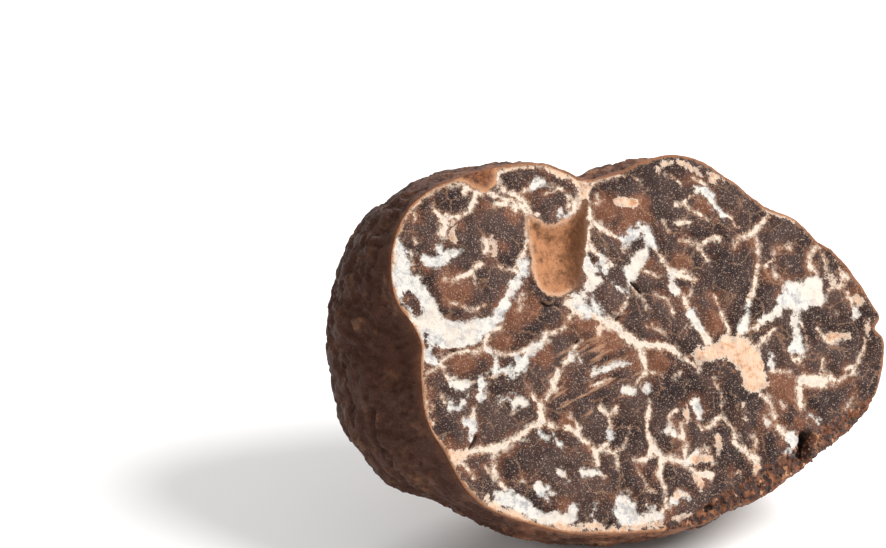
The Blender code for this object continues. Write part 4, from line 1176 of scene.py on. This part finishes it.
def skin_material(colours):
    """Leathery brown skin: reddish and purple blotches and dusty rises, with painted shade in its pores,
    wrinkles and cracks and over its left end.
    """
    material, shader, wires, place = new_material("truffle_skin", 0.6, 0.12)
    grain = wires.group(grain_group(), {"Place": place, "Size": 0.26, "Cover": 0.35})
    broad = wires.noise(place, 9.0, 4.0, 0.6, seed=21.0)
    patch = wires.noise(place, 3.2, 5.0, 0.65, seed=22.0)
    # Painted shade over the skin's left end: the dark mottling spreads further there.
    shaded = wires.times(shader_field(wires, "flank_painted_shade"), 0.8)
    mottle_and_left_shade = wires.step(wires.math("SUBTRACT", broad, wires.times(shaded, 0.3)), 0.38, 0.6)
    colour = wires.blend(mottle_and_left_shade, linear(colours.skin_dark_and_shade), linear(colours.skin))
    colour = wires.blend(wires.times(wires.step(patch, 0.52, 0.7), 0.7), colour, linear(colours.skin_light))
    stain = wires.step(wires.noise(place, 5.0, 4.0, 0.6, seed=23.0), 0.54, 0.68)
    colour = wires.blend(wires.times(stain, 0.8), colour, linear(colours.skin_purple))
    dusty = wires.times(wires.step(wires.noise(place, 2.2, 6.0, 0.7, seed=24.0), 0.5, 0.72), 0.5)
    colour = wires.blend(dusty, colour, linear(colours.skin_dust))
    colour = wires.blend(wires.times(grain.outputs["Specks"], 0.35), colour, linear(colours.skin_light))

    # Painted shade in the wrinkles and pores that the relief carves.
    ridges = wires.math("ABSOLUTE", wires.plus(wires.noise(place, 2.6, 3.0, 0.55, seed=11.0), -0.5))
    colour = wires.blend(wires.times(wires.step(ridges, 0.05, 0.0), 0.5), colour, linear(colours.crack))
    pores = wires.times(wires.step(wires.cells(place, 1.5), 0.2, 0.1),
                        wires.step(wires.noise(place, 4.0, 1.0, seed=13.0), 0.48, 0.6))
    colour = wires.blend(wires.times(pores, 0.8), colour, linear(colours.crack))
    rim = wires.step(
        wires.plus(shader_field(wires, "behind"), wires.times(wires.plus(patch, -0.5), 3.0)), 1.3, 0.0
    )
    colour = wires.blend(wires.times(rim, 0.55), colour, linear(colours.rim_skin))
    # Painted shade in the skin's open cracks.
    crack = wires.step(shader_field(wires, "crack"), 0.3, -0.1)
    colour = wires.blend(wires.times(crack, 0.9), colour, linear(colours.crack))
    # Painted shade: the skin's left end is darkened further, broken up by noise.
    shaded = wires.times(
        shaded, wires.step(wires.noise(place, 4.5, 5.0, 0.65, seed=27.0), 0.66, 0.4, 0.45, 1.0)
    )
    colour = wires.blend(shaded, colour, linear(colours.skin_dark_and_shade))
    wires.feed(shader.inputs["Base Color"], colour)

    wires.feed(shader.inputs["Roughness"], wires.step(dusty, 0.0, 0.5, 0.5, 0.75))
    height = wires.plus(wires.times(grain.outputs["Height"], 0.5), wires.times(patch, 1.6))
    bump = wires.node("ShaderNodeBump", {"Height": height, "Strength": 0.9, "Distance": 0.0006})
    wires.feed(shader.inputs["Normal"], bump.outputs[0])
    return material


def crumb_material(colours):
    """Loose crumbs, each its own shade from dark flesh to orange-brown."""
    material, shader, wires, place = new_material("truffle_crumb", 0.7, 0.3)
    grain = wires.group(grain_group(), {"Place": place, "Size": 0.14, "Cover": 0.5})
    tone = wires.noise(place, 1.0, 3.0, 0.7, seed=31.0)
    colour = wires.blend(wires.step(tone, 0.4, 0.6), linear(colours.rust), linear(colours.tissue_light))
    colour = wires.blend(wires.step(tone, 0.56, 0.72), colour, linear(colours.tan))
    colour = wires.blend(wires.times(grain.outputs["Specks"], 0.4), colour, linear(colours.speck))
    wires.feed(shader.inputs["Base Color"], colour)
    bump = wires.node(
        "ShaderNodeBump", {"Height": grain.outputs["Height"], "Strength": 0.5, "Distance": 0.0002}
    )
    wires.feed(shader.inputs["Normal"], bump.outputs[0])
    return material


# ---------------------------------------------------------------- sizes and colours a user would change


def length(name, description, default):
    return bpy.props.FloatProperty(
        name=name, description=description, default=default, min=0.0, subtype="DISTANCE", unit="LENGTH",
        precision=5
    )


def colour(name, description, default):
    return bpy.props.FloatVectorProperty(
        name=name, description=description, default=default, min=0.0, max=1.0, size=3, subtype="COLOR"
    )


class TruffleSizes(bpy.types.PropertyGroup):
    face_grid: length("Cut Detail", "Distance between the points of the cut's mesh", 0.23 * MM)
    skin_grid: length("Skin Detail", "Distance between the points of the skin's mesh", 0.42 * MM)
    pocket_depth: length("Pocket Depth", "How deep the hollow in the cut is", 4.2 * MM)
    vein_depth: length("Vein Depth", "How far the veins lie below the flesh", 0.07 * MM)
    lobe_rise: length("Lobe Rise", "How far the lobes swell between the veins", 0.42 * MM)
    grain_height: length("Grain Height", "Roughness of the cut flesh", 0.42 * MM)
    streak_height: length("Streak Height", "Height of the torn streaks", 0.5 * MM)
    crack_depth: length("Crack Depth", "Depth of the open cracks", 0.55 * MM)
    broken_height: length("Broken Height", "Roughness of the broken band of the rim", 2.0 * MM)
    wart_height: length("Wart Height", "Height of the skin's broad bumps", 1.9 * MM)
    wrinkle_height: length("Wrinkle Depth", "Depth of the skin's wrinkles", 0.4 * MM)
    pore_depth: length("Pore Depth", "Depth of the skin's pores", 0.45 * MM)
    crumb_least: length("Smallest Crumb", "Half width of the smallest crumb", 0.12 * MM)
    crumb_most: length("Largest Crumb", "Half width of the largest crumb", 0.30 * MM)
    crumb_density: bpy.props.FloatProperty(
        name="Crumbs", description="Crumbs on each square millimetre of the broken band", default=3.5, min=0.0
    )


class TruffleColours(bpy.types.PropertyGroup):
    tissue_dark: colour("Dark Flesh", "Darkest flesh", (0.019, 0.0115, 0.0115))
    tissue_light: colour("Flesh", "Lighter flesh", (0.055, 0.034, 0.030))
    tissue_warm: colour("Warm Flesh", "Reddish flesh", (0.105, 0.050, 0.034))
    speck: colour("Specks", "Fine sandy specks in the flesh", (0.44, 0.31, 0.24))
    rust: colour("Rust", "Rust margins of the lobes", (0.155, 0.060, 0.032))
    vein: colour("Veins", "Cream of the veins", (0.62, 0.52, 0.43))
    vein_edge: colour("Vein Edges", "Warm edges of the veins", (0.36, 0.20, 0.12))
    chalk: colour("Chalk", "White of the chalky patches", (0.60, 0.57, 0.53))
    chalk_fleck: colour("Chalk Flecks", "Grey flecks in the chalk", (0.24, 0.24, 0.26))
    tan: colour("Tan", "Tan patches", (0.46, 0.235, 0.125))
    hub: colour("Hub", "Pale pink tan of the hub", (0.66, 0.45, 0.32))
    rim: colour("Rim", "Cream line inside the rim", (0.56, 0.37, 0.24))
    rim_skin: colour("Rim Skin", "Orange tan of the skin's cut edge", (0.25, 0.10, 0.048))
    pocket: colour("Pocket", "Lining of the hollow", (0.37, 0.17, 0.082))
    # Also the colour of the painted shade on the right side of the hollow.
    pocket_streaks_and_shade: colour("Pocket Shade", "Darker streaks of the hollow", (0.12, 0.052, 0.026))
    # Also the painted shade in the cracks, pores, wrinkles and the cavity.
    crack: colour("Cracks", "Dark of the cracks and pores", (0.018, 0.010, 0.008))
    skin: colour("Skin", "Leathery skin", (0.21, 0.082, 0.040))
    # Dark skin is also the colour of the painted shade over the skin's left end.
    skin_dark_and_shade: colour("Dark Skin", "Dark brown skin", (0.052, 0.019, 0.011))
    skin_light: colour("Light Skin", "Light tan skin", (0.36, 0.17, 0.088))
    skin_purple: colour("Skin Stains", "Purple brown stains", (0.036, 0.014, 0.012))
    skin_dust: colour("Skin Dust", "Dusty rises", (0.34, 0.20, 0.125))
    floor: colour("Floor", "Pale floor", (0.90, 0.90, 0.90))


# ---------------------------------------------------------------- the pieces


def smooth_mesh(mesh):
    mesh.polygons.foreach_set("use_smooth", np.ones(len(mesh.polygons), bool))
    mesh.update()


def show(mesh, name):
    obj = bpy.data.objects.new(name, mesh)
    bpy.context.scene.collection.objects.link(obj)
    return obj


def store(mesh, name, values):
    attribute = mesh.attributes.new(name, "FLOAT", "POINT")
    attribute.data.foreach_set("value", values.astype(np.float32))


def pocket_shape(cut, sizes):
    """How far the cut lies behind its plane in the pocket, the depth inside its edge, and how much painted
    shade falls on its right side.
    """
    inside = outline_depth(cut, POCKET_EDGE)
    rise = np.clip(inside / POCKET_SLOPE, 0, 1)
    depth = sizes.pocket_depth / MM * POCKET_SHARE * (rise**1.5 * (2.2 - 1.2 * rise))
    lean = np.clip((cut[:, 0] + 9.5 + 0.28 * (cut[:, 1] - 12)) / 4.5, 0, 1)
    depth *= 0.45 + 0.55 * lean
    return depth, inside, np.clip((cut[:, 0] + 7.8 + 0.25 * (12 - cut[:, 1])) / 2.6, 0, 1)


def half_mesh(sizes):
    """The half's plain mesh, with the fields that the relief and the materials read."""
    points, faces, cut_count, cut, angles, turns = half_surface(sizes.face_grid / MM, sizes.skin_grid / MM)
    count, rim_count = len(cut), RIM_STEPS
    depth, inside, shade = pocket_shape(cut, sizes)
    shoulder = outline_depth(cut, SHOULDER_EDGE)
    inner = np.clip(rim_gap(cut) / 0.2, 0, 1)
    points[:count, 2] += depth + SHOULDER_DROP * np.clip((shoulder + 0.2) / 2.2, 0, 1) ** 1.5 * inner
    world = to_world(points) * MM + np.array(middle_of_cut())
    mesh = bpy.data.meshes.new("white_truffle_half")
    mesh.from_pydata(world.tolist(), [], faces)
    mesh.update()

    far = np.full(len(points), 4.0)
    fields = {
        name: far.copy() for name in ("vein", "chalk", "tan", "rust", "dark", "crack", "dark_hole", "torn")
    }
    fields["vein"][:count] = stroke_field(cut, VEINS)
    fields["chalk"][:count] = stroke_field(cut, CHALK)
    fields["tan"][:count] = stroke_field(cut, TAN)
    fields["rust"][:count] = stroke_field(cut, RUST)
    fields["rust_spot"] = far.copy()
    fields["rust_spot"][:count] = spot_field(cut, RUST_SPOTS)
    fields["dark"][:count] = stroke_field(cut, DARK_CELLS)
    fields["crack"][:count] = stroke_field(cut, CRACKS)
    fields["dark_hole"][:count] = stroke_field(cut, DARK_HOLES)
    fields["torn"][:count] = stroke_field(cut, TORN_LOBE)
    fields["crack"][count:] = skin_strokes(angles, turns, SKIN_CRACKS)
    fields["edge"] = far.copy()
    fields["edge"][:count] = rim_gap(cut)
    fields["broken"] = far.copy()
    fields["broken"][:count] = stroke_field(cut, BROKEN_RIM)
    fields["broken"][count:] = stroke_field(points[count:, :2], BROKEN_RIM) + 0.9 * points[count:, 2]
    fields["shoulder"] = -far
    fields["shoulder"][:count] = shoulder
    fields["pocket"] = -far
    fields["pocket"][:count] = inside
    fields["pocket_shade"] = np.zeros(len(points))
    fields["pocket_shade"][:count] = shade
    fields["behind"] = np.zeros(len(points))
    fields["behind"][count:] = turns * BODY_DEPTH
    # Painted shade: how much the skin is darkened towards its left end, fading out towards the back.
    fields["flank_painted_shade"] = np.clip((-14 - points[:, 0]) / 12, 0, 1) * np.clip((24 - points[:, 2]) / 8, 0, 1)
    fields["cut"] = np.zeros(len(points))
    fields["cut"][rim_count:count] = 1.0
    fields["cut"][:rim_count] = 0.5
    for name, values in fields.items():
        store(mesh, name, values)
    on_cut = np.zeros(len(faces), bool)
    on_cut[:cut_count] = True
    mesh.attributes.new("cut_face", "BOOLEAN", "FACE").data.foreach_set("value", on_cut)
    return mesh


def rest_on_floor(mesh):
    """Flattens whatever reaches below the floor."""
    places = np.zeros(len(mesh.vertices) * 3, np.float32)
    mesh.vertices.foreach_get("co", places)
    places = places.reshape(-1, 3)
    places[:, 2] = np.maximum(places[:, 2], CAD_LOW.z)
    mesh.vertices.foreach_set("co", places.ravel())
    mesh.update()


class TRUFFLE_OT_half(bpy.types.Operator):
    """Makes the halved truffle: the veined cut and the skin behind it"""

    bl_idname = "truffle.half"
    bl_label = "Truffle Half"

    def execute(self, context):
        sizes, colours = context.scene.truffle_sizes, context.scene.truffle_colours
        raw = show(half_mesh(sizes), "truffle_raw")
        modifier = raw.modifiers.new("Relief", "NODES")
        modifier.node_group = relief_tree()
        for name, size in RELIEF_SIZES:
            set_input(modifier, name, getattr(sizes, size))
        set_input(modifier, "Flesh", flesh_material(colours))
        set_input(modifier, "Skin", skin_material(colours))
        mesh = baked(raw, modifier, "white_truffle_half")
        bpy.data.objects.remove(raw)
        rest_on_floor(mesh)
        smooth_mesh(mesh)
        half = show(mesh, "white_truffle_half")
        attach(half, "root")
        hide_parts("truffle_half")
        return {"FINISHED"}


class TRUFFLE_OT_crumbs(bpy.types.Operator):
    """Strews crumbs over the broken band of the rim"""

    bl_idname = "truffle.crumbs"
    bl_label = "Rim Crumbs"

    def execute(self, context):
        sizes, colours = context.scene.truffle_sizes, context.scene.truffle_colours
        half = bpy.data.objects["white_truffle_half"]
        raw = show(half.data.copy(), "crumbs_raw")
        modifier = raw.modifiers.new("Crumbs", "NODES")
        modifier.node_group = crumb_tree()
        for name, size in CRUMB_SIZES:
            set_input(modifier, name, getattr(sizes, size))
        set_input(modifier, "Seed", 7)
        set_input(modifier, "Crumb", crumb_material(colours))
        mesh = baked(raw, modifier, "rim_crumbs")
        bpy.data.objects.remove(raw)
        smooth_mesh(mesh)
        crumbs = show(mesh, "rim_crumbs")
        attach(crumbs, "root")
        return {"FINISHED"}


def area_light(name, place, target, size, energy, tint=(1.0, 1.0, 1.0)):
    light = bpy.data.lights.new(name, "AREA")
    light.shape = "DISK"
    light.size = size
    light.energy = energy
    light.color = tint
    obj = bpy.data.objects.new(name, light)
    obj.location = place
    obj.rotation_euler = (target - Vector(place)).to_track_quat("-Z", "Y").to_euler()
    bpy.context.scene.collection.objects.link(obj)


class TRUFFLE_OT_stage(bpy.types.Operator):
    """Sets the pale floor, the soft studio lights and the camera"""

    bl_idname = "truffle.stage"
    bl_label = "Stage"

    def execute(self, context):
        scene = context.scene
        middle = middle_of_cut()
        floor_mesh = bpy.data.meshes.new("floor")
        floor_mesh.from_pydata([(-3, -3, 0), (3, -3, 0), (3, 3, 0), (-3, 3, 0)], [], [(0, 1, 2, 3)])
        paint, shader, wires, place = new_material("floor_paint", 0.7, 0.1)
        tone = wires.step(wires.noise(place, 300.0, 2.0), 0.3, 0.7, 0.985, 1.0)
        colour = wires.blend(1.0, linear(scene.truffle_colours.floor), tone, kind="MULTIPLY")
        wires.feed(shader.inputs["Base Color"], colour)
        floor_mesh.materials.append(paint)
        show(floor_mesh, "floor")

        world = bpy.data.worlds.new("studio")
        scene.world = world
        world.use_nodes = True
        sky = world.node_tree.nodes["Background"]
        sky.inputs["Color"].default_value = (1.0, 1.0, 1.0, 1.0)
        sky.inputs["Strength"].default_value = 0.40
        area_light("key", (0.34, -0.26, 0.46), middle, 0.32, 5.6, (1.0, 0.985, 0.96))
        area_light("fill", (-0.50, -0.30, 0.34), middle, 0.16, 0.8, (1.0, 0.96, 0.92))
        area_light("back", (0.10, 0.50, 0.45), middle, 0.4, 2.2)

        camera = bpy.data.cameras.new("camera")
        camera.lens = 100.0
        camera.sensor_width = 36.0
        camera.clip_start = 0.01
        azimuth, height = math.radians(-22.0), math.radians(24.0)
        back = Vector(
            (math.sin(azimuth) * math.cos(height), -math.cos(azimuth) * math.cos(height), math.sin(height))
        )
        right = Vector((math.cos(azimuth), math.sin(azimuth), 0.0))
        up = back.cross(right)
        holder = bpy.data.objects.new("camera", camera)
        holder.location = middle + (-22.81 * right + 8.80 * up + 285.0 * back) * MM
        holder.rotation_euler = back.to_track_quat("Z", "Y").to_euler()
        scene.collection.objects.link(holder)
        scene.camera = holder
        scene.view_settings.view_transform = "Standard"
        return {"FINISHED"}


class TRUFFLE_PT_panel(bpy.types.Panel):
    bl_label = "Halved Truffle"
    bl_idname = "TRUFFLE_PT_panel"
    bl_space_type = "VIEW_3D"
    bl_region_type = "UI"
    bl_category = "Truffle"

    def draw(self, context):
        column = self.layout.column()
        for group in (context.scene.truffle_sizes, context.scene.truffle_colours):
            for name in group.bl_rna.properties.keys():
                if name not in ("rna_type", "name"):
                    column.prop(group, name)
        for operator in (TRUFFLE_OT_half, TRUFFLE_OT_crumbs, TRUFFLE_OT_stage):
            column.operator(operator.bl_idname)


CLASSES = (
    TruffleSizes, TruffleColours, TRUFFLE_OT_half, TRUFFLE_OT_crumbs, TRUFFLE_OT_stage, TRUFFLE_PT_panel,
)


def register():
    for item in CLASSES:
        bpy.utils.register_class(item)
    bpy.types.Scene.truffle_sizes = bpy.props.PointerProperty(type=TruffleSizes)
    bpy.types.Scene.truffle_colours = bpy.props.PointerProperty(type=TruffleColours)


def unregister():
    del bpy.types.Scene.truffle_colours
    del bpy.types.Scene.truffle_sizes
    for item in reversed(CLASSES):
        bpy.utils.unregister_class(item)


def main():
    register()
    bpy.ops.truffle.half()
    bpy.ops.truffle.crumbs()
    bpy.ops.truffle.stage()
    bpy.context.view_layer.update()


if __name__ == "__main__":
    main()
